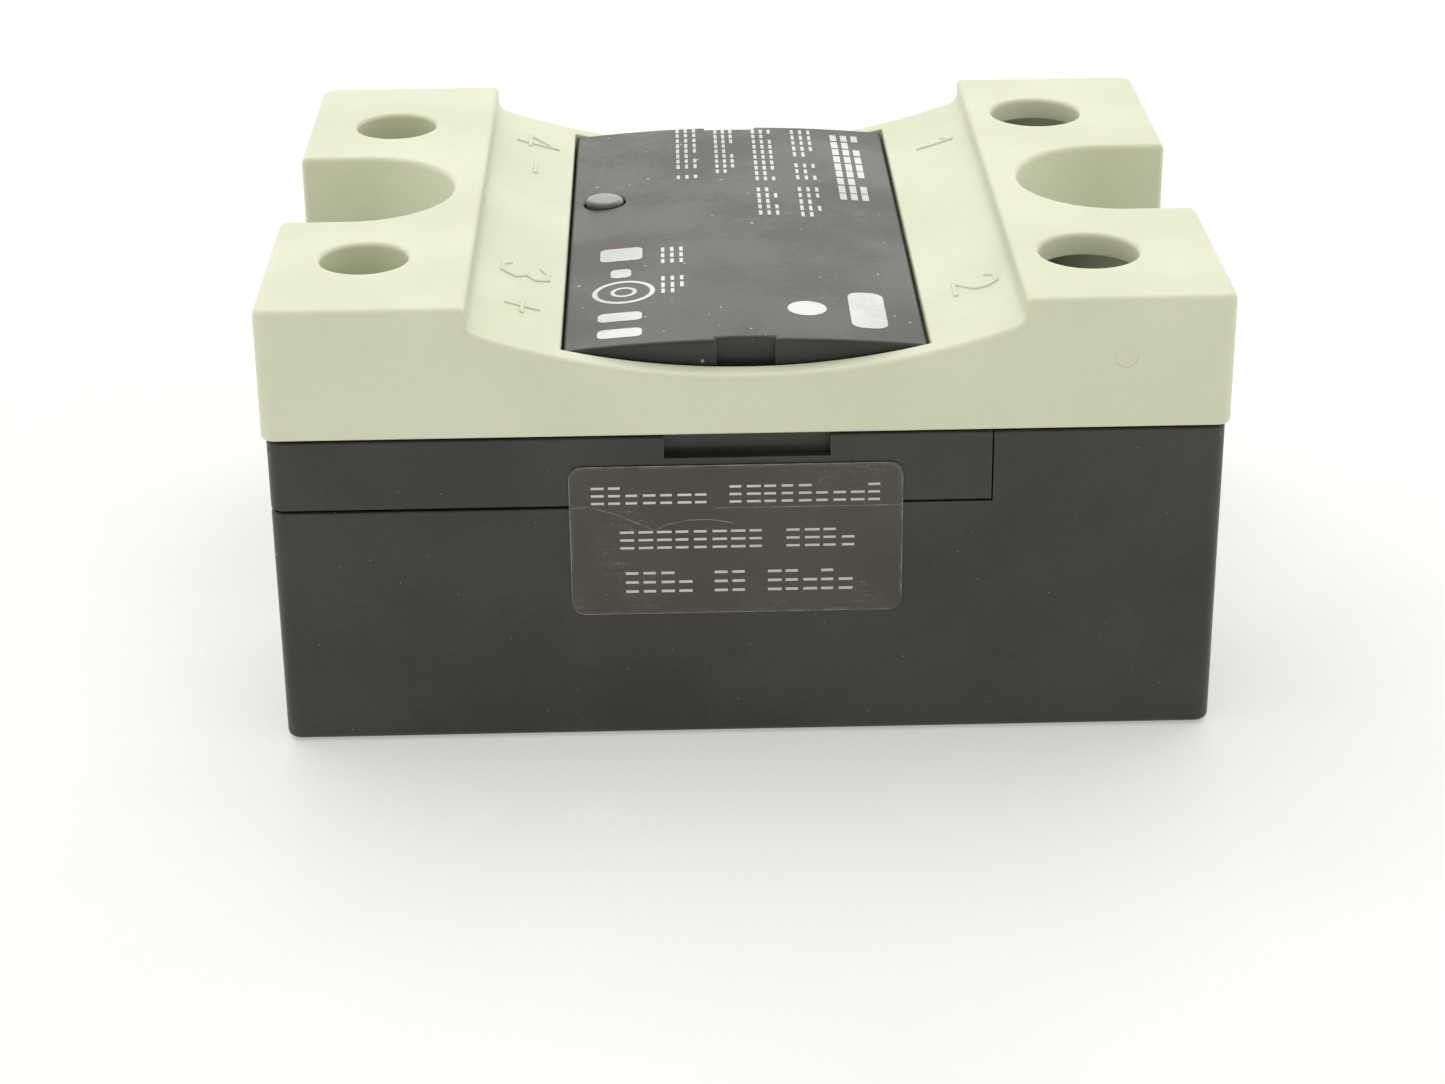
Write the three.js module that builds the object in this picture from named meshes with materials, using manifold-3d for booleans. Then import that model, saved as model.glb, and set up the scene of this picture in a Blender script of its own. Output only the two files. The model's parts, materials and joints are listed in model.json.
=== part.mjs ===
// A panel-mount solid state relay of the flat "puck" kind, in millimetres.
// Frame: origin under the middle of the base plate, +X towards the output terminals, +Y to the rear, +Z up.
//
// A nickel-plated base plate closes the underside of a black housing made in two shells.
// The upper shell carries four screw terminals, the printed centre panel and the status light.
// A pale snap-on cover guards the terminals and lifts off upwards.

import * as THREE from "three";
import { mergeVertices } from "three/addons/utils/BufferGeometryUtils.js";
import Module from "manifold-3d";

const wasm = await Module();
wasm.setup();

// ---------------------------------------------------------------- driving dimensions

const LENGTH = 58.2; // over the cover, along X
const WIDTH = 44.8; // over the cover, along Y
const HEIGHT = 28.8; // from the base plate to the tops of the cover's end blocks
const MOUNTING_PITCH = 47.6; // between the two mounting screws

const GAP = 0.15; // between a shell and the shell it fits into
const SEAM = 0.1; // the open line between two shells
const FIT = 0.3; // round a part that another part is moulded or cut to clear
const PAST = 1; // how far a cutting solid runs past what it cuts

const CORNER_R = 0.9; // upright corners of the cover and the housing
const CORNER_STEPS = 4;
const NOTCH_STEPS = 16;
const ROUND_STEPS = 24; // sides of a screw, hole or other round part
const SEAT_STEPS = 32;
const PIN_STEPS = 12;

// The cover: two end blocks with a shallow round valley between them.
const COVER_Z = 20.5; // its lower edge
const COVER_WALL = 1.5;
const COVER_END_WALL = 1.3;
const COVER_ROOF = 1.4;
const BLOCK_X = 16.55; // inner face of an end block
const VALLEY_Z = 24.3;
const VALLEY_R = 48;
const WINDOW_X = 11.05; // half the opening for the centre panel
const WINDOW_Y = 20.9;
const CHAMBER_X = 17.2; // where the space inside an end block begins
const ENTRY_TOP_Z = 25;

// The mounting notches run in from both ends, through every plastic part.
const NOTCH_X = 24.75; // centre of the notch's round end
const NOTCH_R = 6.3;

// The housing.
const OVERHANG = 0.25; // of the cover beyond the housing
const HOUSING_X = LENGTH / 2 - OVERHANG;
const HOUSING_Y = WIDTH / 2 - OVERHANG;
const HOUSING_NOTCH_R = NOTCH_R + OVERHANG;
const HOUSING_WALL = 1.3;
const HOUSING_Z = 0.15; // lower edge, just above the base plate's face
const SPLIT_Z = 15.7; // top of the lower shell, up to SPLIT_X
const SPLIT_X = 14.8; // beyond it the lower shell reaches the cover
const RIM_Z = 20.3; // top of both shells' outer walls
const DECK_Z = 17.8; // the upper shell's floor under the terminals
const SHOULDER_X = 16.8; // where the terminal chambers begin
const SHOULDER_Z = 22.5; // top of the upper shell beside the panel and between the terminals
const LIP_DEPTH = 1.5; // of the upper shell's lip inside the lower shell
const LIP_WALL = 1;
const ENTRY_X = 26.2; // where the wire entries' sills begin
const ENTRY_SILL_Z = 18.4;

// The centre panel, the top of the upper shell.
const PANEL_X = 10.9;
const PANEL_Y = 20.75;
const PANEL_Z = 25.95; // at the middle of its crown
const PANEL_R = 100;
const PANEL_INSIDE_X = 9.7; // the hollow under the panel
const PANEL_INSIDE_Z = 24.4;
const INSIDE_X = 15.4; // the hollow under the shoulders
const INSIDE_Y = 18.7;
const SHOULDER_INSIDE_Z = 21.3;
const GROOVE_X = 1.75; // half the width of the upright grooves at its ends
const GROOVE_DEPTH = 0.45;
const POCKET_X = 5; // half the width of the slots for lifting the cover
const POCKET_DEPTH = 0.85;
const POCKET_Z = 18.9;

// The base plate.
const PLATE_X = 28;
const PLATE_Y = 21;
const PLATE_Z = 3;
const PLATE_CORNER_R = 1;
const SLOT_R = 2.6;
const SLOT_STRETCH = 0.6; // half the straight part of the closed slot
const SEAT_R = 5; // the raised seats for the mounting screws' washers
const SEAT_Z = 3.2;

// Latches that hold the cover.
const LATCH_X = [11.5, 13.6];
const LATCH_Y = [19.95, 20.95];
const LATCH_Z = 18.6;
const COLLAR_WALL = 0.9; // round the control terminals' access holes, inside the cover

// The two kinds of terminal. Lengths run along X and widths along Y.
const OUTPUT = {
  x: 21.25,
  y: 14.1,
  access: 3.05,
  collar: 0,
  chamber: [9, 19.5],
  entry: 5,
  lug: { from: 16.9, to: 26, width: 9, thick: 1.2, leg: 1, legWidth: 7, boss: 3.7, bossDepth: 1.5 },
  clamp: { length: 8.4, width: 9.4, thick: 1.2, hole: 2.65 },
  screw: { head: 3.9, headHeight: 3, shank: 2.4, reach: 8.8, thread: 2.5 },
  well: { r: 3.2, floor: 11, bottom: 10.2 },
};
const CONTROL = {
  x: -23.2,
  y: 13.3,
  access: 2.7,
  collar: 2.8,
  chamber: [9, 17.6],
  entry: 4,
  lug: { from: -26.1, to: -16.9, width: 6.4, thick: 0.8, leg: 0.8, legWidth: 2, boss: 2.4, bossDepth: 1 },
  clamp: { length: 6.4, width: 6.8, thick: 0.8, hole: 1.65 },
  screw: { head: 2.8, headHeight: 2.4, shank: 1.42, reach: 8, thread: 1.5 },
  well: { r: 2.1, floor: 11, bottom: 10.2 },
};
const TERMINALS = [
  { kind: OUTPUT, name: "output", number: 1, side: 1 },
  { kind: OUTPUT, name: "output", number: 2, side: -1 },
  { kind: CONTROL, name: "control", number: 3, side: -1 },
  { kind: CONTROL, name: "control", number: 4, side: 1 },
];
const WELL_WALL = 1;
const THREAD_CLEARANCE = 0.1;
const CLAMP_GROOVES = { count: 3, half: 0.35, depth: 0.2 }; // across the underside of a clamp

// The screw's shape, as shares of its head's radius or height, and its lengths in millimetres.
const HEAD_EDGE = 0.12;
const DRIVE_ARM = 0.62;
const DRIVE_HALF_WIDTH = 0.14;
const DRIVE_FLOOR = 0.45;
const SLOT_FLOOR = 0.6;
const TIP_SHARE = 0.3;
const NECK = 0.6;
const THREAD_START = 1;

// The power substrate, on the base plate.
const CERAMIC = { x: [-8, 16.5], y: 18, z: [PLATE_Z, 3.65] };
const TRACK = { x: [-6, 16], y: [2, 17.4], z: [3.65, 3.95] };
const CHIP = { x: [-1.5, 6.5], y: [6, 14], z: [3.95, 4.35] };
const FOOT = { length: 8, width: 7, thick: 0.8 };
const STRAP = { width: 2.4, thick: 0.4, rise: 1.2, foot: 3, x: [4.6, 0.4], end: 0.4 };

// The control board, under the centre panel.
const BOARD = { x: [-18.5, 9.5], y: 17.8, z: [13, 14.6], notchR: 9.4 };
const PIN_R = 0.4;
const PIN_REACH = 0.7; // past the board
const PIN_CLEARANCE = 0.15;
const PINS = [
  { name: "gate_pin_1", x: 3, y: 12, foot: CHIP.z[1] },
  { name: "gate_pin_2", x: 3, y: -12, foot: CHIP.z[1] },
  { name: "cathode_pin_1", x: 8, y: -5, foot: TRACK.z[1] },
  { name: "cathode_pin_2", x: 8, y: 5, foot: TRACK.z[1] },
];
const LIGHT = { x: -8.75, y: 5.7, r: 1.275, top: 25.85, flange: 0.8 };
const SOURCE = [2, 1.25, 1.1]; // the light source's length, width and height
const POTTING_Z = [3.1, 12.3];

// The seal across the seam, on the front.
const SEAL = { x: [-10.8, 9.4], z: [8.55, 18.45], thick: 0.1, glue: 0.02 };

// ---------------------------------------------------------------- solids

function solidOf(geometry) {
  const bare = geometry.clone();
  bare.deleteAttribute("normal");
  bare.deleteAttribute("uv");
  const merged = mergeVertices(bare, 1e-4);
  return new wasm.Manifold(
    new wasm.Mesh({
      numProp: 3,
      vertProperties: merged.attributes.position.array,
      triVerts: new Uint32Array(merged.index.array),
    }),
  );
}

function geometryOf(solid) {
  const mesh = solid.getMesh();
  const geometry = new THREE.BufferGeometry();
  geometry.setAttribute("position", new THREE.BufferAttribute(mesh.vertProperties, 3));
  geometry.setIndex(new THREE.BufferAttribute(mesh.triVerts, 1));
  const facets = geometry.toNonIndexed();
  facets.computeVertexNormals();
  return facets;
}

function box([x0, x1], [y0, y1], [z0, z1]) {
  const geometry = new THREE.BoxGeometry(x1 - x0, y1 - y0, z1 - z0);
  geometry.translate((x0 + x1) / 2, (y0 + y1) / 2, (z0 + z1) / 2);
  return solidOf(geometry);
}

function post(x, y, r, [z0, z1], steps = ROUND_STEPS) {
  const geometry = new THREE.CylinderGeometry(r, r, z1 - z0, steps);
  geometry.rotateX(Math.PI / 2);
  geometry.translate(x, y, (z0 + z1) / 2);
  return solidOf(geometry);
}

// A solid of revolution about the upright line at (x, y). The profile holds [radius, z] pairs.
function turned(x, y, profile, steps = ROUND_STEPS) {
  const points = profile.map(([r, z]) => new THREE.Vector2(r, z));
  const geometry = new THREE.LatheGeometry(points, steps);
  geometry.rotateX(Math.PI / 2);
  geometry.translate(x, y, 0);
  return solidOf(geometry);
}

// An outline in the XY plane, extruded upwards.
function plate(points, [z0, z1]) {
  const geometry = new THREE.ExtrudeGeometry(new THREE.Shape(points), {
    depth: z1 - z0,
    bevelEnabled: false,
  });
  geometry.translate(0, 0, z0);
  return solidOf(geometry);
}

// An outline in the XZ plane, extruded along Y.
function beam(points, [y0, y1]) {
  const geometry = new THREE.ExtrudeGeometry(new THREE.Shape(points), {
    depth: y1 - y0,
    bevelEnabled: false,
  });
  geometry.rotateX(Math.PI / 2);
  geometry.translate(0, y1, 0);
  return solidOf(geometry);
}

const joined = (solids) => solids.reduce((sum, solid) => sum.add(solid));
const cut = (solid, cutters) => cutters.reduce((left, cutter) => left.subtract(cutter), solid);
const between = (a, b) => [Math.min(a, b), Math.max(a, b)];
const about = (middle, half) => [middle - half, middle + half];

// ---------------------------------------------------------------- outlines

const point = (x, y) => new THREE.Vector2(x, y);

function arc(cx, cy, r, from, to, steps) {
  return Array.from({ length: steps + 1 }, (_, i) => {
    const angle = from + ((to - from) * i) / steps;
    return point(cx + r * Math.cos(angle), cy + r * Math.sin(angle));
  });
}

function roundedRectangle(halfX, halfY, r) {
  const corners = [
    [halfX - r, halfY - r],
    [-halfX + r, halfY - r],
    [-halfX + r, -halfY + r],
    [halfX - r, -halfY + r],
  ];
  return corners.flatMap(([x, y], i) =>
    arc(x, y, r, (i * Math.PI) / 2, ((i + 1) * Math.PI) / 2, CORNER_STEPS),
  );
}

// A U-shaped channel at one end: side 1 opens towards +X and side -1 towards -X.
function channel(side, centreX, r, outerX) {
  const tip = arc(centreX, 0, r, Math.PI / 2, (3 * Math.PI) / 2, NOTCH_STEPS);
  const outline = [point(outerX, r), ...tip, point(outerX, -r)];
  return side > 0 ? outline : outline.map((p) => point(-p.x, p.y)).reverse();
}

// A block of the housing's plan, taken in by inset, with both mounting notches cut out.
function notchedBlock(halfX, halfY, notchR, z, r = CORNER_R) {
  const block = plate(roundedRectangle(halfX, halfY, r), z);
  const clear = [z[0] - PAST, z[1] + PAST];
  const notches = [1, -1].map((side) =>
    plate(channel(side, NOTCH_X, notchR, halfX + PAST), clear),
  );
  return cut(block, notches);
}

function valleyDrop(x) {
  return VALLEY_R - Math.sqrt(VALLEY_R * VALLEY_R - x * x);
}

// The valley between the end blocks, from -reach to reach, lowered by drop.
function valley(reach, drop) {
  const half = Math.asin(reach / VALLEY_R);
  const centreZ = VALLEY_Z + VALLEY_R - drop;
  const down = -Math.PI / 2;
  return arc(0, centreZ, VALLEY_R, down - half, down + half, NOTCH_STEPS);
}

// ---------------------------------------------------------------- cover

function coverBody() {
  const profile = [
    point(-LENGTH / 2, COVER_Z),
    point(-LENGTH / 2, HEIGHT),
    point(-BLOCK_X, HEIGHT),
    ...valley(BLOCK_X, 0),
    point(BLOCK_X, HEIGHT),
    point(LENGTH / 2, HEIGHT),
    point(LENGTH / 2, COVER_Z),
  ];
  const bar = beam(profile, [-WIDTH / 2, WIDTH / 2]);
  return bar.intersect(
    notchedBlock(LENGTH / 2, WIDTH / 2, NOTCH_R, [COVER_Z - PAST, HEIGHT + PAST]),
  );
}

function coverInside() {
  const roof = HEIGHT - COVER_ROOF;
  const endX = LENGTH / 2 - COVER_END_WALL;
  const profile = [
    point(-endX, COVER_Z - PAST),
    point(-endX, roof),
    point(-CHAMBER_X, roof),
    ...valley(CHAMBER_X, COVER_ROOF),
    point(CHAMBER_X, roof),
    point(endX, roof),
    point(endX, COVER_Z - PAST),
  ];
  const space = beam(profile, [-WIDTH / 2 + COVER_WALL, WIDTH / 2 - COVER_WALL]);
  const notchWalls = [1, -1].map((side) =>
    plate(channel(side, NOTCH_X, NOTCH_R + COVER_END_WALL, LENGTH), [0, HEIGHT]),
  );
  const collars = TERMINALS.filter((t) => t.kind.collar > 0).map(({ kind, side }) =>
    post(kind.x, side * kind.y, kind.access + COLLAR_WALL, [roof - kind.collar, HEIGHT]),
  );
  return cut(space, [...notchWalls, ...collars]);
}

function terminalCover() {
  const window = box(about(0, WINDOW_X), about(0, WINDOW_Y), [COVER_Z - PAST, HEIGHT + PAST]);
  const access = TERMINALS.map(({ kind, side }) =>
    post(kind.x, side * kind.y, kind.access, [COVER_Z, HEIGHT + PAST]),
  );
  const entries = TERMINALS.map(({ kind, side }) => {
    const end = Math.sign(kind.x) * (LENGTH / 2);
    const inner = Math.sign(kind.x) * (LENGTH / 2 - COVER_END_WALL - GAP);
    return box(
      between(inner, end * 1.1),
      about(side * kind.y, kind.entry),
      [COVER_Z - PAST, ENTRY_TOP_Z],
    );
  });
  const latches = [1, -1].flatMap((end) =>
    [1, -1].map((side) =>
      box(
        between(end * LATCH_X[0], end * LATCH_X[1]),
        between(side * LATCH_Y[0], side * LATCH_Y[1]),
        [LATCH_Z, VALLEY_Z],
      ),
    ),
  );
  const shell = cut(coverBody(), [coverInside(), window, ...access, ...entries]);
  return joined([shell, ...latches]);
}

// ---------------------------------------------------------------- housing shells

function entryCuts(kinds) {
  return TERMINALS.filter((t) => kinds.includes(t.kind)).map(({ kind, side }) =>
    box(
      between(Math.sign(kind.x) * ENTRY_X, Math.sign(kind.x) * LENGTH),
      about(side * kind.y, kind.entry),
      [ENTRY_SILL_Z, COVER_Z + PAST],
    ),
  );
}

function lowerHousing() {
  const outside = notchedBlock(HOUSING_X, HOUSING_Y, HOUSING_NOTCH_R, [HOUSING_Z, RIM_Z]);
  const inside = notchedBlock(
    HOUSING_X - HOUSING_WALL,
    HOUSING_Y - HOUSING_WALL,
    HOUSING_NOTCH_R + HOUSING_WALL,
    [0, HEIGHT],
  );
  const plateSeat = box(
    about(0, PLATE_X + SEAM),
    about(0, PLATE_Y + SEAM),
    [0, PLATE_Z + SEAM / 2],
  );
  const aboveSplit = box([-LENGTH, SPLIT_X + SEAM / 2], about(0, WIDTH), [SPLIT_Z, HEIGHT]);
  return cut(outside, [inside, plateSeat, aboveSplit, ...entryCuts([OUTPUT])]);
}

// The part of the upper shell that shows as a band above the seam.
function upperBand() {
  const band = notchedBlock(HOUSING_X, HOUSING_Y, HOUSING_NOTCH_R, [SPLIT_Z + SEAM, RIM_Z]);
  return band.intersect(box([-LENGTH, SPLIT_X - SEAM / 2], about(0, WIDTH), [0, HEIGHT]));
}

function panelTower() {
  const half = Math.asin(PANEL_X / PANEL_R);
  const up = Math.PI / 2;
  const crown = arc(0, PANEL_Z - PANEL_R, PANEL_R, up - half, up + half, 12);
  const profile = [point(-PANEL_X, RIM_Z - PAST), point(PANEL_X, RIM_Z - PAST), ...crown];
  return beam(profile, about(0, PANEL_Y));
}

// The upper shell's body inside the lower shell: it ends in a thin lip below the seam.
function upperBlock() {
  const seatZ = SPLIT_Z + SEAM;
  const inset = HOUSING_WALL + GAP;
  const block = notchedBlock(
    HOUSING_X - inset,
    HOUSING_Y - inset,
    HOUSING_NOTCH_R + inset,
    [seatZ - LIP_DEPTH, SHOULDER_Z],
  );
  const insideLip = notchedBlock(
    HOUSING_X - inset - LIP_WALL,
    HOUSING_Y - inset - LIP_WALL,
    HOUSING_NOTCH_R + inset + LIP_WALL,
    [0, seatZ],
  );
  return cut(block, [insideLip]);
}

// The space round one terminal, open at the top and at the end above the rim of the band.
function terminalChamber({ kind, side }) {
  const end = Math.sign(kind.x);
  const y = between(side * kind.chamber[0], side * kind.chamber[1]);
  const rimX = HOUSING_X - HOUSING_WALL - GAP;
  return joined([
    box(between(end * SHOULDER_X, end * rimX), y, [DECK_Z, HEIGHT]),
    box(between(end * SHOULDER_X, end * LENGTH), y, [end > 0 ? DECK_Z : RIM_Z, HEIGHT]),
  ]);
}

const well = ({ kind, side }, r, z) => post(kind.x, side * kind.y, r, z);

// The slot that a lug's leg passes down through.
function legSlot({ kind, side }) {
  const { inner, outer } = legOf(kind);
  const halfWidth = kind.lug.legWidth / 2 + FIT;
  return box([inner - FIT, outer + FIT], about(side * kind.y, halfWidth), [0, DECK_Z + PAST]);
}

// Boxes at the same place on the four quarters of the housing or on its two long sides.
const onQuarters = (x, y, z) =>
  [1, -1].flatMap((end) =>
    [1, -1].map((side) =>
      box(between(end * x[0], end * x[1]), between(side * y[0], side * y[1]), z),
    ),
  );
const onSides = (x, y, z) =>
  [1, -1].map((side) => box(x, between(side * y[0], side * y[1]), z));

function upperHousing() {
  const solid = joined([
    upperBand(),
    upperBlock(),
    panelTower(),
    ...TERMINALS.map((t) => well(t, t.kind.well.r + WELL_WALL, [t.kind.well.bottom, DECK_Z])),
  ]);
  const bossTop = DECK_Z + PAST;
  return cut(solid, [
    ...TERMINALS.map(terminalChamber),
    ...TERMINALS.map((t) => well(t, t.kind.well.r, [t.kind.well.floor, bossTop])),
    ...TERMINALS.map((t) =>
      well(t, t.kind.lug.boss + FIT, [DECK_Z - t.kind.lug.bossDepth - FIT, bossTop]),
    ),
    ...TERMINALS.map(legSlot),
    ...entryCuts([CONTROL]),
    box(about(0, PANEL_INSIDE_X), about(0, INSIDE_Y), [0, PANEL_INSIDE_Z]),
    box(about(0, INSIDE_X), about(0, INSIDE_Y), [0, SHOULDER_INSIDE_Z]),
    ...onSides(about(0, GROOVE_X), [PANEL_Y - GROOVE_DEPTH, WIDTH], [SHOULDER_Z, HEIGHT]),
    ...onSides(about(0, POCKET_X), [HOUSING_Y - POCKET_DEPTH, WIDTH], [POCKET_Z, RIM_Z + PAST]),
    ...onQuarters(
      [LATCH_X[0] - FIT, LATCH_X[1] + FIT],
      [LATCH_Y[0] - FIT, LATCH_Y[1] + FIT],
      [LATCH_Z - FIT, HEIGHT],
    ),
    post(LIGHT.x, LIGHT.y, LIGHT.r + SEAM, [SHOULDER_INSIDE_Z - PAST, HEIGHT]),
  ]);
}

function basePlate() {
  const slotX = MOUNTING_PITCH / 2;
  const open = plate(channel(-1, slotX, SLOT_R, LENGTH), [-PAST, PLATE_Z + PAST]);
  const closed = plate(
    [
      ...arc(slotX + SLOT_STRETCH, 0, SLOT_R, -Math.PI / 2, Math.PI / 2, NOTCH_STEPS),
      ...arc(slotX - SLOT_STRETCH, 0, SLOT_R, Math.PI / 2, (3 * Math.PI) / 2, NOTCH_STEPS),
    ],
    [-PAST, PLATE_Z + PAST],
  );
  const blank = plate(roundedRectangle(PLATE_X, PLATE_Y, PLATE_CORNER_R), [0, PLATE_Z]);
  const seats = [1, -1].map((end) =>
    post(end * slotX, 0, SEAT_R, [PLATE_Z - PAST, SEAT_Z], SEAT_STEPS).intersect(
      box(about(0, PLATE_X), about(0, PLATE_Y), [0, SEAT_Z]),
    ),
  );
  return cut(joined([blank, ...seats]), [open, closed]);
}

// ---------------------------------------------------------------- terminals

// The upright leg hangs from the end of the lug that is nearer the middle of the relay.
function legOf(kind) {
  const { from, to, leg } = kind.lug;
  return kind.x > 0 ? { inner: from, outer: from + leg } : { inner: to - leg, outer: to };
}

function lug({ kind, side }) {
  const { from, to, width, thick, boss, bossDepth } = kind.lug;
  const y = side * kind.y;
  const pad = box([from, to], about(y, width / 2), [DECK_Z, DECK_Z + thick]);
  const collar = post(kind.x, y, boss, [DECK_Z - bossDepth, DECK_Z + thick / 2]);
  const boreR = kind.screw.thread + THREAD_CLEARANCE;
  const bore = post(kind.x, y, boreR, [DECK_Z - 2 * bossDepth, COVER_Z]);
  const { inner, outer } = legOf(kind);
  const footTop = TRACK.z[1] + FOOT.thick;
  const legBottom = kind === OUTPUT ? TRACK.z[1] : BOARD.z[0] - PIN_REACH;
  const leg = box([inner, outer], about(y, kind.lug.legWidth / 2), [legBottom, DECK_Z + thick / 2]);
  const foot = box([outer - FOOT.length, outer], about(y, FOOT.width / 2), [TRACK.z[1], footTop]);
  const parts = kind === OUTPUT ? [pad, collar, leg, foot] : [pad, collar, leg];
  return cut(joined(parts), [bore]);
}

// Drawn about the screw's own axis, resting on the lug.
function clamp({ kind }) {
  const { length, width, thick, hole } = kind.clamp;
  const block = box(about(0, length / 2), about(0, width / 2), [0, thick]);
  const grooves = Array.from({ length: CLAMP_GROOVES.count }, (_, i) => {
    const x = (i - (CLAMP_GROOVES.count - 1) / 2) * (length / (CLAMP_GROOVES.count + 1));
    return box(about(x, CLAMP_GROOVES.half), about(0, width), [-PAST, CLAMP_GROOVES.depth]);
  });
  return cut(block, [post(0, 0, hole, [-PAST, thick + PAST]), ...grooves]);
}

// Drawn about its own axis, with the underside of the head at zero.
function screw({ kind }) {
  const { head, headHeight, shank, thread, reach } = kind.screw;
  const edge = HEAD_EDGE * head;
  const tip = thread * TIP_SHARE;
  const body = turned(0, 0, [
    [0, -reach],
    [thread - tip, -reach],
    [thread, tip - reach],
    [thread, -THREAD_START],
    [shank, -NECK],
    [shank, 0],
    [head, 0],
    [head, headHeight - edge],
    [head - edge, headHeight],
    [0, headHeight],
  ]);
  const arm = about(0, head * DRIVE_ARM);
  const blade = about(0, head * DRIVE_HALF_WIDTH);
  const cross = [headHeight * DRIVE_FLOOR, headHeight + PAST];
  const slot = [headHeight * SLOT_FLOOR, headHeight + PAST];
  return cut(body, [
    box(about(0, head + PAST), blade, slot),
    box(arm, blade, cross),
    box(blade, arm, cross),
  ]);
}

// ---------------------------------------------------------------- power substrate

const ceramic = () => box(CERAMIC.x, about(0, CERAMIC.y), CERAMIC.z);
const track = (side) => box(TRACK.x, between(side * TRACK.y[0], side * TRACK.y[1]), TRACK.z);
const chip = (side) => box(CHIP.x, between(side * CHIP.y[0], side * CHIP.y[1]), CHIP.z);

// A copper bridge from the top of one chip over to the other chip's track.
function strap(side) {
  const { width, thick, rise, foot, end } = STRAP;
  const x = about(STRAP.x[side > 0 ? 0 : 1], width / 2);
  const chipY = CHIP.y[0] + end;
  const trackY = TRACK.y[0] + end;
  const top = CHIP.z[1] + rise;
  const across = (from, to) => between(side * from, side * to);
  return joined([
    box(x, across(chipY, chipY + foot), [CHIP.z[1], CHIP.z[1] + thick]),
    box(x, across(chipY, chipY + thick), [CHIP.z[1], top]),
    box(x, across(chipY + thick, -trackY - thick), [top - thick, top]),
    box(x, across(-trackY, -trackY - thick), [TRACK.z[1], top]),
    box(x, across(-trackY, -trackY - foot), [TRACK.z[1], TRACK.z[1] + thick]),
  ]);
}

// A disc on edge across the output, on two leads.
const VARISTOR = { x: [11.4, 14.6], z: 10.4, r: 4.4, leadY: 3, leadR: 0.35 };

function varistor() {
  const { x, z, r, leadY, leadR } = VARISTOR;
  const disc = new THREE.CylinderGeometry(r, r, x[1] - x[0], ROUND_STEPS);
  disc.rotateZ(Math.PI / 2);
  disc.translate((x[0] + x[1]) / 2, 0, z);
  const leads = [1, -1].map((side) =>
    post((x[0] + x[1]) / 2, side * leadY, leadR, [TRACK.z[1], z], PIN_STEPS),
  );
  return joined([solidOf(disc), ...leads]);
}

// ---------------------------------------------------------------- control board

function board() {
  const blank = box(BOARD.x, about(0, BOARD.y), BOARD.z);
  const through = [BOARD.z[0] - PAST, BOARD.z[1] + PAST];
  const pinHoles = PINS.map(({ x, y }) => post(x, y, PIN_R + PIN_CLEARANCE, through, PIN_STEPS));
  const legHoles = TERMINALS.filter((t) => t.kind === CONTROL).map(({ kind, side }) => {
    const { inner, outer } = legOf(kind);
    const y = about(side * kind.y, kind.lug.legWidth / 2 + PIN_CLEARANCE);
    return box([inner - PIN_CLEARANCE, outer + PIN_CLEARANCE], y, through);
  });
  const notch = plate(channel(-1, NOTCH_X, BOARD.notchR, LENGTH), through);
  return cut(blank, [notch, ...pinHoles, ...legHoles]);
}

const pin = ({ x, y, foot }) => post(x, y, PIN_R, [foot, BOARD.z[1] + PIN_REACH], PIN_STEPS);

// A moulded package standing just off the board, with bent leads along two sides.
const LEAD = { half: 0.25, thick: 0.24, reach: 1.1, knee: [0.35, 0.6], pitch: 2.54, standoff: 0.15 };

function chipPackage([x, y], [length, width, height], leadsPerSide) {
  const z = BOARD.z[1];
  const middle = z + height / 2;
  const body = box(about(x, length / 2), about(y, width / 2), [z + LEAD.standoff, z + height]);
  const leadsAt = (leadX, side) => {
    const across = (from, to) => between(y + side * (width / 2 + from), y + side * (width / 2 + to));
    const leadSpan = about(leadX, LEAD.half);
    return [
      box(leadSpan, across(-LEAD.half, LEAD.knee[1]), [middle, middle + LEAD.thick]),
      box(leadSpan, across(...LEAD.knee), [z, middle + LEAD.thick]),
      box(leadSpan, across(LEAD.knee[0], LEAD.reach), [z, z + LEAD.thick]),
    ];
  };
  const leads = Array.from({ length: leadsPerSide }, (_, i) => {
    const leadX = x + (i - (leadsPerSide - 1) / 2) * LEAD.pitch;
    return [...leadsAt(leadX, 1), ...leadsAt(leadX, -1)];
  });
  return joined([body, ...leads.flat()]);
}

const surfacePart = ([x, y], [length, width, height]) =>
  box(about(x, length / 2), about(y, width / 2), [BOARD.z[1], BOARD.z[1] + height]);

// A radial can on the board, with a rolled groove near its foot.
function capacitor() {
  const z = BOARD.z[1];
  return turned(-2.5, -14.5, [
    [0, z],
    [2.5, z],
    [2.5, z + 0.9],
    [2.25, z + 1.15],
    [2.5, z + 1.4],
    [2.5, z + 6.6],
    [2.2, z + 7],
    [0, z + 7],
  ]);
}

// A clear rod from just over the light source to the top of the panel, on a flange.
function lightPipe() {
  const { x, y, r, top, flange } = LIGHT;
  const foot = BOARD.z[1] + SOURCE[2] + GAP;
  return turned(x, y, [
    [0, foot],
    [r + flange, foot],
    [r + flange, foot + 1],
    [r, foot + 1.4],
    [r, top - 0.18],
    [r - 0.25, top - 0.03],
    [r - 0.7, top],
    [0, top],
  ]);
}

// ---------------------------------------------------------------- potting

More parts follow.
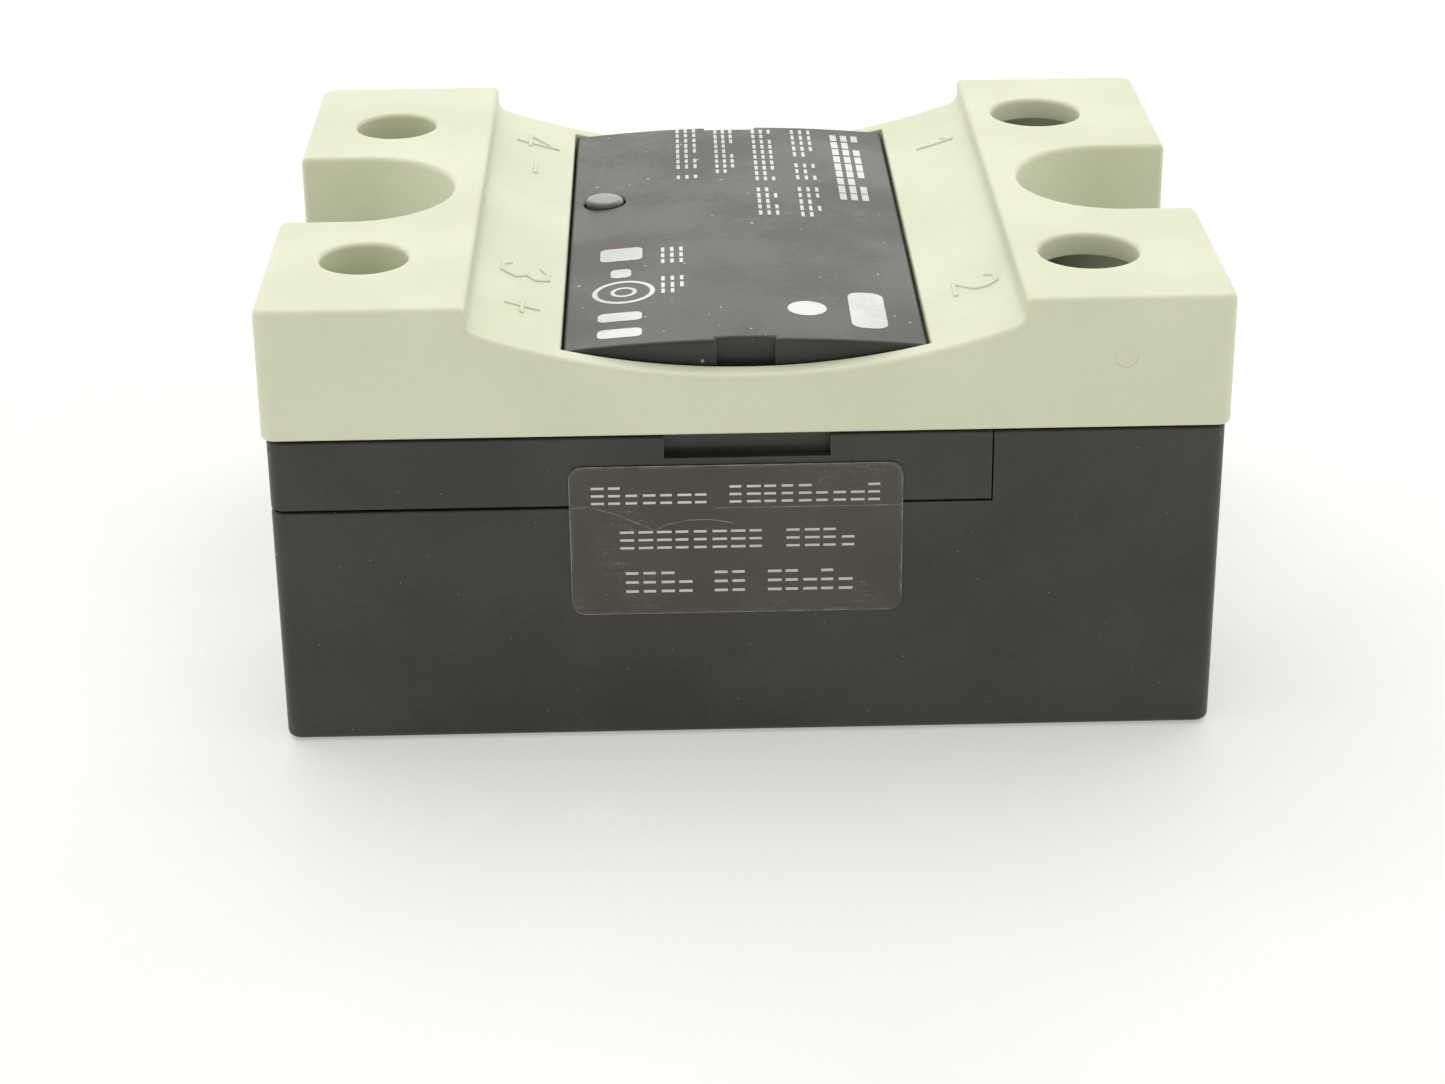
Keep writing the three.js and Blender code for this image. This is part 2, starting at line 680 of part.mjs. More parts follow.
function potting() {
  const inset = HOUSING_WALL + GAP;
  const fill = notchedBlock(
    HOUSING_X - inset,
    HOUSING_Y - inset,
    HOUSING_NOTCH_R + inset,
    POTTING_Z,
  );
  const substrate = box(
    [CERAMIC.x[0] - FIT, CERAMIC.x[1] + FIT],
    about(0, CERAMIC.y + FIT),
    [0, CHIP.z[1] + STRAP.rise + FIT],
  );
  const wells = TERMINALS.map(({ kind, side }) =>
    post(kind.x, side * kind.y, kind.well.r + WELL_WALL + FIT, [kind.well.bottom - FIT, HEIGHT]),
  );
  const legs = TERMINALS.filter((t) => t.kind === OUTPUT).map(({ kind, side }) => {
    const { inner, outer } = legOf(kind);
    return box([inner - PAST, outer + FIT], about(side * kind.y, FOOT.width / 2 + FIT), [0, HEIGHT]);
  });
  const pins = PINS.map(({ x, y }) => post(x, y, PIN_R + FIT, [0, HEIGHT], PIN_STEPS));
  const { x, z, r } = VARISTOR;
  const disc = box([x[0] - FIT, x[1] + FIT], about(0, r + FIT), [0, HEIGHT]);
  return cut(fill, [substrate, ...wells, ...legs, ...pins, disc]);
}

// ---------------------------------------------------------------- materials and assembly

const finish = (color, roughness, metalness = 0) =>
  new THREE.MeshStandardMaterial({ color, roughness, metalness });

const BLACK_RESIN = finish(0x2f302d, 0.5);
const PALE_RESIN = finish(0xd9dbc2, 0.55);
const NICKEL = finish(0xb9b7ae, 0.35, 1);
const TINNED = finish(0xc6c6c2, 0.4, 1);
const ZINC = finish(0xb4b6b8, 0.38, 1);
const COPPER = finish(0xb66a45, 0.4, 1);
const CERAMIC_WHITE = finish(0xe9e6dd, 0.6);
const SILICON = finish(0x4a4c55, 0.3, 0.4);
const BOARD_GREEN = finish(0x1f5a36, 0.5);
const PACKAGE_BLACK = finish(0x1b1b1c, 0.6);
const CAN_BLUE = finish(0x2a3350, 0.4);
const DISC_BLUE = finish(0x27548c, 0.45);
const POTTING = finish(0x2a2927, 0.7);
const LENS = finish(0x6d7468, 0.2);
const LABEL = finish(0x3a372f, 0.35);

const relay = new THREE.Group();
relay.name = "relay";

function add(name, solid, material, x = 0, y = 0, z = 0) {
  const mesh = new THREE.Mesh(geometryOf(solid), material);
  mesh.name = name;
  mesh.position.set(x, y, z);
  relay.add(mesh);
}

add("base_plate", basePlate(), NICKEL);
add("lower_housing", lowerHousing(), BLACK_RESIN);
add("upper_housing", upperHousing(), BLACK_RESIN);
add("terminal_cover", terminalCover(), PALE_RESIN);
add("potting_compound", potting(), POTTING);

for (const terminal of TERMINALS) {
  const { kind, name, number, side } = terminal;
  const y = side * kind.y;
  const clampZ = DECK_Z + kind.lug.thick;
  add(`${name}_lug_${number}`, lug(terminal), TINNED);
  add(`${name}_clamp_${number}`, clamp(terminal), TINNED, kind.x, y, clampZ);
  add(`${name}_screw_${number}`, screw(terminal), ZINC, kind.x, y, clampZ + kind.clamp.thick);
}

add("ceramic_substrate", ceramic(), CERAMIC_WHITE);
for (const [side, number] of [[1, 1], [-1, 2]]) {
  add(`copper_track_${number}`, track(side), COPPER);
  add(`thyristor_chip_${number}`, chip(side), SILICON);
  add(`chip_strap_${number}`, strap(side), COPPER);
}
add("varistor", varistor(), DISC_BLUE);

add("control_board", board(), BOARD_GREEN);
PINS.forEach((place) => add(place.name, pin(place), TINNED));
add("optocoupler", chipPackage([-2.5, 8], [7.3, 6.4, 3.4], 3), PACKAGE_BLACK);
add("bridge_rectifier", chipPackage([-11.5, -5.5], [4.8, 4, 2.4], 2), PACKAGE_BLACK);
add("smoothing_capacitor", capacitor(), CAN_BLUE);
[[-12, 1.5], [-10, -12], [-4, -4]].forEach((place, i) =>
  add(`resistor_${i + 1}`, surfacePart(place, [3.2, 1.6, 0.6]), PACKAGE_BLACK),
);
add("light_source", surfacePart([LIGHT.x, LIGHT.y], SOURCE), CERAMIC_WHITE);
add("light_pipe", lightPipe(), LENS);

add(
  "seal_label",
  box(SEAL.x, [-HOUSING_Y - SEAL.thick - SEAL.glue, -HOUSING_Y - SEAL.glue], SEAL.z),
  LABEL,
);

export default relay;
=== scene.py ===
"""Looks of a flat panel-mount solid state relay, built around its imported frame.

Lengths in the dataclasses are in millimetres. Meshes are made in millimetres and turned into metres once,
when a piece is placed.
"""

import json
import logging
import math
import random
from collections.abc import Callable, Iterable, Sequence
from dataclasses import dataclass
from enum import Enum

import bmesh
import bpy
from mathutils import Matrix, Vector

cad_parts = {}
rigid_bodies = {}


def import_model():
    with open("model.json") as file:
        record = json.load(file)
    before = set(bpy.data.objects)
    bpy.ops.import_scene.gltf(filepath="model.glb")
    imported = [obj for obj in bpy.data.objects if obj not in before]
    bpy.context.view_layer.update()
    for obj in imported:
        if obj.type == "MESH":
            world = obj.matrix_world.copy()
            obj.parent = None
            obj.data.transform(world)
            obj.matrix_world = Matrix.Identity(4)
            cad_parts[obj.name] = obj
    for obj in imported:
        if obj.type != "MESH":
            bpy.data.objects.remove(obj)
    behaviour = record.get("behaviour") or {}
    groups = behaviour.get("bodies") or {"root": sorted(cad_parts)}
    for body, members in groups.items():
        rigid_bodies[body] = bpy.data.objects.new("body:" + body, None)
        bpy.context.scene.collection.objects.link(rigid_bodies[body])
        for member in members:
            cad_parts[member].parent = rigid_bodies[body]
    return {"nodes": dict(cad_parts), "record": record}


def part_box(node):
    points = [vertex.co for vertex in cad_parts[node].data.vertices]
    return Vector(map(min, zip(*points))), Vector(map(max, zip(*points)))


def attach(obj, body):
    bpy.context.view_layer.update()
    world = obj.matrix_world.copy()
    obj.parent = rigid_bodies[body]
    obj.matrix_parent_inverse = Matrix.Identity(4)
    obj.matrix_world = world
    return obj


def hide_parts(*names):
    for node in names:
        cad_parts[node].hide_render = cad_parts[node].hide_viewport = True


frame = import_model()

LOG = logging.getLogger("relay")
MM = 0.001
SHARP = math.radians(32)  # the least bend that counts as an edge
NEAR = 0.05  # points nearer than this count as touching
HAIR = 0.001  # keeps a slot's round ends from sharing a point

# Lengths that run well past the relay, for cutters that leave it on one side.
PAST_TOP = 30
PAST_END = 32
PAST_SIDE = 25
TALL = (-5, 35)

Point = tuple[float, float]
Span = tuple[float, float]
Triple = tuple[float, float, float]
Colour = Triple
Node = bpy.types.Node
Socket = bpy.types.NodeSocket
Tree = bpy.types.NodeTree
Piece = bpy.types.Object
BMesh = bmesh.types.BMesh
Inputs = bpy.types.NodeOutputs


class Axis(Enum):
    """The direction that an outline is extruded in, and how its points then lie in space."""

    Y = "y"
    Z = "z"

    def lay(self, point: Point, along: float) -> Triple:
        """Returns the place in space of an outline's point, moved along this axis."""
        if self is Axis.Z:
            return (*point, along)
        return (point[0], along, point[1])


class Join(Enum):
    """How one solid is combined with others."""

    ADD = "UNION"
    CUT = "DIFFERENCE"
    KEEP_COMMON = "INTERSECT"


# ---------------------------------------------------------------- outlines


def arc(centre: Point, radius: float, start: float, end: float, steps: int) -> list[Point]:
    """Returns the points along an arc between two angles in degrees, both ends included."""
    angles = [math.radians(start + (end - start) * i / steps) for i in range(steps + 1)]
    return [(centre[0] + radius * math.cos(a), centre[1] + radius * math.sin(a)) for a in angles]


def rounded_rectangle(x: Span, y: Span, radius: float, steps: int = 8) -> list[Point]:
    """Outline of a rectangle with round corners, anticlockwise.

    Args:
        x: Lowest and highest first coordinate.
        y: Lowest and highest second coordinate.
        radius: Corner radius.
        steps: Chords in each corner.

    Returns:
        The outline's points.
    """
    corners = [
        (x[1] - radius, y[1] - radius),
        (x[0] + radius, y[1] - radius),
        (x[0] + radius, y[0] + radius),
        (x[1] - radius, y[0] + radius),
    ]
    turns = enumerate(corners)
    return [p for i, c in turns for p in arc(c, radius, 90 * i, 90 * (i + 1), steps)]


def channel(side: int, centre_x: float, radius: float, outer_x: float, steps: int = 48) -> list[Point]:
    """Returns the outline of a channel with a round inner end, open towards +X or, where side is -1, -X."""
    outline = [(outer_x, radius), *arc((centre_x, 0), radius, 90, 270, steps), (outer_x, -radius)]
    return outline if side > 0 else [(-px, py) for px, py in reversed(outline)]


def circle(centre: Point, radius: float, steps: int = 40) -> list[Point]:
    """Returns the points round a full circle."""
    return arc(centre, radius, 0, 360, steps)[:-1]


def about(middle: float, half: float) -> Span:
    """Returns the span from middle - half to middle + half."""
    return (middle - half, middle + half)


def between(a: float, b: float) -> Span:
    """Returns the span between two values given in any order."""
    return (min(a, b), max(a, b))


# ---------------------------------------------------------------- solids


@dataclass
class Solid:
    """A closed mesh in millimetres that can be joined, cut and rounded."""

    mesh: bpy.types.Mesh

    @classmethod
    def of(cls, bm: BMesh) -> "Solid":
        """Takes over a bmesh, with its faces turned outwards.

        Args:
            bm: The bmesh, which is freed.

        Returns:
            The solid.
        """
        bmesh.ops.recalc_face_normals(bm, faces=bm.faces)
        mesh = bpy.data.meshes.new("solid")
        bm.to_mesh(mesh)
        bm.free()
        return cls(mesh)

    @classmethod
    def prism(cls, outline: Sequence[Point], axis: Axis, span: Span) -> "Solid":
        """Extrudes an outline.

        Args:
            outline: The outline's points.
            axis: Direction of the extrusion.
            span: Where it starts and ends.

        Returns:
            The solid.
        """
        bm = bmesh.new()
        low = [bm.verts.new(axis.lay(p, span[0])) for p in outline]
        high = [bm.verts.new(axis.lay(p, span[1])) for p in outline]
        bm.faces.new(low)
        bm.faces.new(high)
        for i in range(len(low)):
            bm.faces.new((low[i - 1], low[i], high[i], high[i - 1]))
        return cls.of(bm)

    @classmethod
    def box(cls, x: Span, y: Span, z: Span) -> "Solid":
        """Returns a box between three spans."""
        return cls.prism([(x[0], y[0]), (x[1], y[0]), (x[1], y[1]), (x[0], y[1])], Axis.Z, z)

    @classmethod
    def slab(cls, half_x: float, half_y: float, z: Span) -> "Solid":
        """Returns a box centred on the relay's upright axis."""
        return cls.box((-half_x, half_x), (-half_y, half_y), z)

    @classmethod
    def post(cls, centre: Point, radius: float, z: Span, steps: int = 96) -> "Solid":
        """Returns an upright round post."""
        return cls.prism(circle(centre, radius, steps), Axis.Z, z)

    @classmethod
    def turned(cls, centre: Point, profile: Sequence[Point], steps: int = 96) -> "Solid":
        """Turns a profile round an upright axis.

        Args:
            centre: Where the axis stands.
            profile: Radius and height of each point, from axis to axis.
            steps: Sides of the turning.

        Returns:
            The solid.
        """
        bm = bmesh.new()
        ends = [bm.verts.new((*centre, profile[i][1])) for i in (0, -1)]
        rings = []
        for radius, height in profile[1:-1]:
            rings.append([bm.verts.new((*point, height)) for point in circle(centre, radius, steps)])
        for lower, upper in zip(rings, rings[1:]):
            for i in range(steps):
                bm.faces.new((lower[i - 1], lower[i], upper[i], upper[i - 1]))
        for end, ring in zip(ends, (rings[0], rings[-1])):
            for i in range(steps):
                bm.faces.new((end, ring[i - 1], ring[i]))
        return cls.of(bm)

    def combined(self, others: Iterable["Solid"], join: Join) -> "Solid":
        """Joins or cuts this solid with others.

        Args:
            others: The other solids.
            join: How they are combined.

        Returns:
            A new solid.
        """
        operands = bpy.data.collections.new("operands")
        bpy.context.scene.collection.children.link(operands)
        for other in others:
            operands.objects.link(bpy.data.objects.new("operand", other.mesh))
        base = show("base", self.mesh)
        modifier = base.modifiers.new("boolean", "BOOLEAN")
        modifier.solver = "EXACT"
        modifier.operation = join.value
        modifier.operand_type = "COLLECTION"
        modifier.collection = operands
        result = evaluated_mesh(base)
        for obj in [base, *operands.objects]:
            bpy.data.objects.remove(obj)
        bpy.data.collections.remove(operands)
        return Solid(result).cleaned()

    def add(self, others: Iterable["Solid"]) -> "Solid":
        """Returns this solid joined with others."""
        return self.combined(others, Join.ADD)

    def cut(self, others: Iterable["Solid"]) -> "Solid":
        """Returns this solid with others cut from it."""
        return self.combined(others, Join.CUT)

    def common(self, other: "Solid") -> "Solid":
        """Returns what this solid shares with another."""
        return self.combined([other], Join.KEEP_COMMON)

    def cleaned(self) -> "Solid":
        """Merges doubled points and the flat facets that a cut leaves.

        Returns:
            This solid.
        """
        bm = bmesh.new()
        bm.from_mesh(self.mesh)
        bmesh.ops.remove_doubles(bm, verts=bm.verts, dist=2e-4)
        bmesh.ops.dissolve_degenerate(bm, edges=bm.edges, dist=1e-4)
        bmesh.ops.dissolve_limit(bm, angle_limit=math.radians(0.3), verts=bm.verts, edges=bm.edges)
        bm.to_mesh(self.mesh)
        bm.free()
        return self

    def rounded(self, radius_of: Callable[[Vector, Vector], float], segments: int = 3) -> "Solid":
        """Rounds the sharp edges.

        Args:
            radius_of: Gives the radius for an edge from its two ends.
            segments: Facets across a rounding.

        Returns:
            A new solid.
        """
        bm = bmesh.new()
        bm.from_mesh(self.mesh)
        layer = bm.edges.layers.float.new("bevel_weight_edge")
        sharp = [e for e in bm.edges if len(e.link_faces) == 2 and e.calc_face_angle() > SHARP]
        radii = {e: radius_of(e.verts[0].co, e.verts[1].co) for e in sharp}
        widest = max(radii.values(), default=0)
        if widest <= 0:
            bm.free()
            return self
        for edge, radius in radii.items():
            edge[layer] = radius / widest
        bm.to_mesh(self.mesh)
        bm.free()
        obj = show("rounded", self.mesh)
        modifier = obj.modifiers.new("round", "BEVEL")
        modifier.width = widest
        modifier.segments = segments
        modifier.limit_method = "WEIGHT"
        modifier.use_clamp_overlap = False
        modifier.loop_slide = False
        result = evaluated_mesh(obj)
        bpy.data.objects.remove(obj)
        return Solid(result)


def show(name: str, data: bpy.types.ID) -> Piece:
    """Returns a new object in the scene that holds a mesh, a light or a camera."""
    obj = bpy.data.objects.new(name, data)
    bpy.context.scene.collection.objects.link(obj)
    return obj


def evaluated_mesh(obj: Piece) -> bpy.types.Mesh:
    """Returns a new mesh of an object with its modifiers applied."""
    bpy.context.view_layer.update()
    depsgraph = bpy.context.evaluated_depsgraph_get()
    return bpy.data.meshes.new_from_object(obj.evaluated_get(depsgraph))


def place(name: str, solid: Solid, finish: "Finish", body: str, *stands_for: str) -> Piece:
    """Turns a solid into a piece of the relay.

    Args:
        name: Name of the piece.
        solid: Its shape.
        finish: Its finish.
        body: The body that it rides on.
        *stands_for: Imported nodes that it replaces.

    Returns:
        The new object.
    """
    mesh = solid.mesh
    mesh.transform(Matrix.Scale(MM, 4))
    mesh.name = name
    mesh.materials.clear()
    mesh.materials.append(finish.material())
    mesh.polygons.foreach_set("use_smooth", [True] * len(mesh.polygons))
    mesh.set_sharp_from_angle(angle=SHARP)
    piece = show(name, mesh)
    piece.modifiers.new("shading", "WEIGHTED_NORMAL").keep_sharp = True
    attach(piece, body)
    if stands_for:
        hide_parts(*stands_for)
    LOG.info("%s: %d faces on %s", name, len(mesh.polygons), body)
    return piece


@dataclass(frozen=True)
class Extent:
    """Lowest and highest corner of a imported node, in millimetres."""

    low: Vector
    high: Vector

    @classmethod
    def of(cls, node: str) -> "Extent":
        """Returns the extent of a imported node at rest."""
        low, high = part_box(node)
        return cls(low / MM, high / MM)

    @property
    def middle(self) -> Vector:
        """Returns the centre of the box."""
        return (self.low + self.high) / 2

    @property
    def size(self) -> Vector:
        """Returns the three lengths of the box."""
        return self.high - self.low


# ---------------------------------------------------------------- shader wiring


@dataclass
class Wiring:
    """Shorthand for adding and linking nodes in one node tree."""

    tree: Tree

    def node(self, kind: str, **settings: object) -> Node:
        """Adds a node.

        Args:
            kind: The node's type, without its "ShaderNode" prefix.
            **settings: Properties to set on it.

        Returns:
            The node.
        """
        prefix = "" if kind.startswith("Node") else "ShaderNode"
        node = self.tree.nodes.new(prefix + kind)
        for name, value in settings.items():
            setattr(node, name, value)
        return node

    def link(self, source: Socket, target: Socket) -> None:
        """Links one socket to another."""
        self.tree.links.new(source, target)

    def feed(self, value: object, target: Socket) -> None:
        """Links a socket, or sets a plain value.

        Args:
            value: A socket or a plain value.
            target: The socket that takes it.
        """
        if isinstance(value, Socket):
            self.link(value, target)
        else:
            target.default_value = value

    def math(self, operation: str, a: object, b: object = 0.0) -> Socket:
        """Returns the result of a maths node on two values or sockets.

        Args:
            operation: The node's operation.
            a: The first value or socket.
            b: The second one.

        Returns:
            The result.
        """
        node = self.node("Math", operation=operation)
        self.feed(a, node.inputs[0])
        self.feed(b, node.inputs[1])
        return node.outputs[0]

    def times(self, *factors: object) -> Socket:
        """Returns the product of values or sockets."""
        product = factors[0]
        for factor in factors[1:]:
            product = self.math("MULTIPLY", product, factor)
        return product

    def blend(self, first: Socket, second: Socket, share: float) -> Socket:
        """Returns two values added, the first one weighted by its share and the second by the rest."""
        return self.math("ADD", self.times(first, share), self.times(second, round(1 - share, 3)))

    def spread(self, value: Socket, source: Span, target: Span) -> Socket:
        """Returns a value moved from one span to another, held inside it.

        Args:
            value: The value to move.
            source: Its own span.
            target: The span it is moved to.

        Returns:
            The moved value.
        """
        node = self.node("MapRange", interpolation_type="SMOOTHSTEP")
        self.link(value, node.inputs["Value"])
        for name, number in zip(("From Min", "From Max", "To Min", "To Max"), (*source, *target)):
            node.inputs[name].default_value = number
        return node.outputs[0]

    def mix(self, factor: object, first: object, second: object) -> Socket:
        """Returns a mix of two colours, given as colours or sockets.

        Args:
            factor: Share of the second colour.
            first: A colour or a socket.
            second: A colour or a socket.

        Returns:
            The mixed colour.
        """
        node = self.node("Mix", data_type="RGBA")
        self.feed(factor, node.inputs[0])
        for value, socket in ((first, node.inputs[6]), (second, node.inputs[7])):
            self.feed((*value, 1) if isinstance(value, tuple) else value, socket)
        return node.outputs[2]

    def millimetres(self, stretch: Triple = (1, 1, 1)) -> Socket:
        """Returns the object's own coordinates in millimetres, stretched along each axis.

        Args:
            stretch: Factor along each axis.

        Returns:
            The coordinates.
        """
        scaled = self.node("VectorMath", operation="MULTIPLY")
        self.link(self.node("TexCoord").outputs["Object"], scaled.inputs[0])
        scaled.inputs[1].default_value = [s / MM for s in stretch]
        return scaled.outputs[0]

    def facing(self) -> Socket:
        """Returns the surface's normal."""
        return self.node("NewGeometry").outputs["Normal"]

    def noise(self, place: Socket, scale: object, detail: float = 3) -> Socket:
        """Returns a noise value at a place.

        Args:
            place: Where the noise is read.
            scale: Its scale, a value or a socket.
            detail: Its detail.

        Returns:
            The noise, from 0 to 1.
        """
        node = self.node("TexNoise")
        self.link(place, node.inputs["Vector"])
        self.feed(scale, node.inputs["Scale"])
        node.inputs["Detail"].default_value = detail
        return node.outputs["Fac"]


class Effect(Enum):
    """Surface effects that the finishes share, each one node group built once."""

    GRAIN = "surface grain"
    MOTTLE = "colour mottling"
    WEAR = "edge wear"
    DUST = "dust and lint"
    SCRATCHES = "fine scratches"

    def group(self) -> Tree:
        """Returns the effect's node group, built on first use."""
        tree = bpy.data.node_groups.get(self.value)
        if tree is None:
            tree = bpy.data.node_groups.new(self.value, "ShaderNodeTree")
            build, output, inputs = BUILDERS[self]
            declare(tree, inputs, output)
            wiring = Wiring(tree)
            given = wiring.node("NodeGroupInput").outputs
            wiring.link(build(wiring, given), wiring.node("NodeGroupOutput").inputs[output])
        return tree

    def add_to(self, wiring: Wiring, **values: float) -> Socket:
        """Adds the effect to a material.

        Args:
            wiring: The material's wiring.
            **values: Values for the group's inputs, by name in lower case.

        Returns:
            The effect's output.
        """
        node = wiring.node("Group", node_tree=self.group())
        for name, value in values.items():
            node.inputs[name.capitalize()].default_value = value
        return node.outputs[0]


def declare(tree: Tree, inputs: dict[str, float], output: str) -> None:
    """Declares a group's sockets.

    Args:
        tree: The group.
        inputs: Names of its inputs and their first values.
        output: Name of its only output.
    """
    for name, value in inputs.items():
        socket = tree.interface.new_socket(name, in_out="INPUT", socket_type="NodeSocketFloat")
        socket.default_value = value
    tree.interface.new_socket(output, in_out="OUTPUT", socket_type="NodeSocketFloat")


def build_grain(wiring: Wiring, given: Inputs) -> Socket:
    """Fine moulded or blasted grain, as a height from 0 to 1.

    Args:
        wiring: The group's wiring.
        given: The group's inputs.

    Returns:
        The height.
    """
    place = wiring.millimetres()
    fine = wiring.noise(place, wiring.math("DIVIDE", 1.0, given["Size"]), 4)
    broad = wiring.noise(place, wiring.math("DIVIDE", 1.0, given["Coarse"]), 2)
    return wiring.blend(fine, broad, 0.7)


def build_mottle(wiring: Wiring, given: Inputs) -> Socket:
    """Broad soft patches with fine ones on top, as a mask from 0 to 1.

    Args:
        wiring: The group's wiring.
        given: The group's inputs.

    Returns:
        The mask.
    """
    place = wiring.millimetres()
    broad = wiring.noise(place, wiring.math("DIVIDE", 1.0, given["Size"]), 5)
    return wiring.spread(wiring.blend(broad, wiring.noise(place, 2.3, 3), 0.8), (0.36, 0.64), (0, 1))


def build_wear(wiring: Wiring, given: Inputs) -> Socket:
    """Where an outer edge is rubbed, as a mask from 0 to 1.

    Args:
        wiring: The group's wiring.
        given: The group's inputs.

    Returns:
        The mask.
    """
    bevel = wiring.node("Bevel", samples=4)
    wiring.link(wiring.times(given["Radius"], MM), bevel.inputs["Radius"])
    alike = wiring.node("VectorMath", operation="DOT_PRODUCT")
    wiring.link(bevel.outputs[0], alike.inputs[0])
    wiring.link(wiring.facing(), alike.inputs[1])
    edge = wiring.spread(alike.outputs["Value"], (0.72, 0.99), (1, 0))
    patches = wiring.spread(wiring.noise(wiring.millimetres(), 0.8, 5), (0.42, 0.62), (0, 1))
    return wiring.times(edge, patches, given["Amount"])


def build_dust(wiring: Wiring, given: Inputs) -> Socket:
    """Scattered pale specks, more of them on faces that look up, as a mask from 0 to 1.

    Args:
        wiring: The group's wiring.
        given: The group's inputs.

    Returns:
        The mask.
    """
    cells = wiring.node("TexVoronoi")
    wiring.link(wiring.millimetres(), cells.inputs["Vector"])
    wiring.link(wiring.math("DIVIDE", 1.0, given["Spacing"]), cells.inputs["Scale"])
    parts = wiring.node("SeparateColor")
    wiring.link(cells.outputs["Color"], parts.inputs[0])
    size = wiring.math("ADD", wiring.times(wiring.math("POWER", parts.outputs[1], 4.0), 0.1), 0.03)
    speck = wiring.math("LESS_THAN", cells.outputs["Distance"], size)
    chosen = wiring.math("LESS_THAN", parts.outputs[0], given["Share"])
    facing = wiring.node("SeparateXYZ")
    wiring.link(wiring.facing(), facing.inputs[0])
    upward = wiring.spread(facing.outputs["Z"], (-0.6, 0.9), (0.35, 1.0))
    return wiring.times(speck, chosen, upward, given["Amount"])


def build_scratches(wiring: Wiring, given: Inputs) -> Socket:
    """Sparse hairlines in two directions, as a mask from 0 to 1.

    Args:
        wiring: The group's wiring.
        given: The group's inputs.

    Returns:
        The mask.
    """
    lines = []
    for stretch in ((0.16, 2.1, 1.3), (1.9, 0.2, 1.7)):
        streaks = wiring.noise(wiring.millimetres(stretch), 1.7, 2)
        off_middle = wiring.math("ABSOLUTE", wiring.math("SUBTRACT", streaks, 0.5))
        lines.append(wiring.spread(off_middle, (0.0, 0.004), (1, 0)))
    patches = wiring.spread(wiring.noise(wiring.millimetres(), 0.21, 2), (0.56, 0.68), (0, 1))
    return wiring.times(wiring.math("MAXIMUM", *lines), patches, given["Amount"])


# Each effect's builder, the name of its output, and its inputs with their first values.
BUILDERS: dict[Effect, tuple[Callable[[Wiring, Inputs], Socket], str, dict[str, float]]] = {
    Effect.GRAIN: (build_grain, "Height", {"Size": 0.2, "Coarse": 2.0}),
    Effect.MOTTLE: (build_mottle, "Mask", {"Size": 9.0}),
    Effect.WEAR: (build_wear, "Mask", {"Radius": 0.4, "Amount": 1.0}),
    Effect.DUST: (build_dust, "Mask", {"Spacing": 0.9, "Share": 0.3, "Amount": 1.0}),
    Effect.SCRATCHES: (build_scratches, "Mask", {"Amount": 1.0}),
}


# ---------------------------------------------------------------- finishes


@dataclass(frozen=True)
class Finish:
    """How a material looks.

    Attributes:
        name: Name of its material.
        slot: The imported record's material slot.
        colour: Its main colour, linear.
        shade: The colour that it varies towards.
        roughness: Lowest and highest roughness.
        metallic: 1 for bare metal.
        grain: Size of its grain in millimetres.
        relief: Depth of the grain, from 0 to 1.
        mottle: Size of its patches in millimetres.
        worn: Colour of a rubbed edge.
        wear: How far the edges are rubbed, from 0 to 1.
        dust: How much dust lies on it, from 0 to 1.
        dust_share: Share of the places that hold a speck.
        scratches: How far it is scratched, from 0 to 1.
        ior: Index of refraction.
        coat: Weight of a clear coat.
        glow: Weight of light scattered below the surface.
        shine: Strength of the light that it gives off.
    """

    name: str
    slot: str
    colour: Colour
    shade: Colour
    roughness: Span
    metallic: float = 0
    grain: float = 0.2
    relief: float = 0.15
    mottle: float = 9
    worn: Colour = (0.5, 0.5, 0.5)
    wear: float = 0
    dust: float = 0
    dust_share: float = 0.3
    scratches: float = 0
    ior: float = 1.5
    coat: float = 0
    glow: float = 0
    shine: float = 0

    def material(self) -> bpy.types.Material:
        """Returns the material, built on first use."""
        return bpy.data.materials.get(self.name) or self._build()

    def _build(self) -> bpy.types.Material:
        """Builds the material.

        Returns:
            The material.
        """
        material = bpy.data.materials.new(self.name)
        material.use_nodes = True
        material.diffuse_color = (*self.colour, 1)
        wiring = Wiring(material.node_tree)
        shader = material.node_tree.nodes["Principled BSDF"]
        patches = Effect.MOTTLE.add_to(wiring, size=self.mottle)
        height = Effect.GRAIN.add_to(wiring, size=self.grain)
        colour = wiring.mix(patches, self.colour, self.shade)
        rough = wiring.spread(patches, (0, 1), self.roughness)
        if self.wear:
            colour = wiring.mix(Effect.WEAR.add_to(wiring, amount=self.wear), colour, self.worn)
        if self.scratches:
            lines = Effect.SCRATCHES.add_to(wiring, amount=self.scratches)
            colour = wiring.mix(lines, colour, self.worn)
            height = wiring.math("SUBTRACT", height, wiring.times(lines, 0.6))
        if self.dust:
            specks = Effect.DUST.add_to(wiring, amount=self.dust, share=self.dust_share)
            colour = wiring.mix(specks, colour, LINT)
            rough = wiring.math("ADD", rough, wiring.times(specks, 0.4))
        bump = wiring.node("Bump")
        bump.inputs["Strength"].default_value = self.relief
        bump.inputs["Distance"].default_value = self.grain * MM / 2
        wiring.link(height, bump.inputs["Height"])
        settings = {
            "Normal": bump.outputs[0],
            "Base Color": colour,
            "Emission Color": colour,
            "Emission Strength": self.shine,
            "Roughness": rough,
            "Metallic": self.metallic,
            "IOR": self.ior,
            "Coat Weight": self.coat,
            "Subsurface Weight": self.glow,
            "Subsurface Scale": MM,
        }
        for name, value in settings.items():
            wiring.feed(value, shader.inputs[name])
        return material


LINT: Colour = (0.6, 0.59, 0.52)

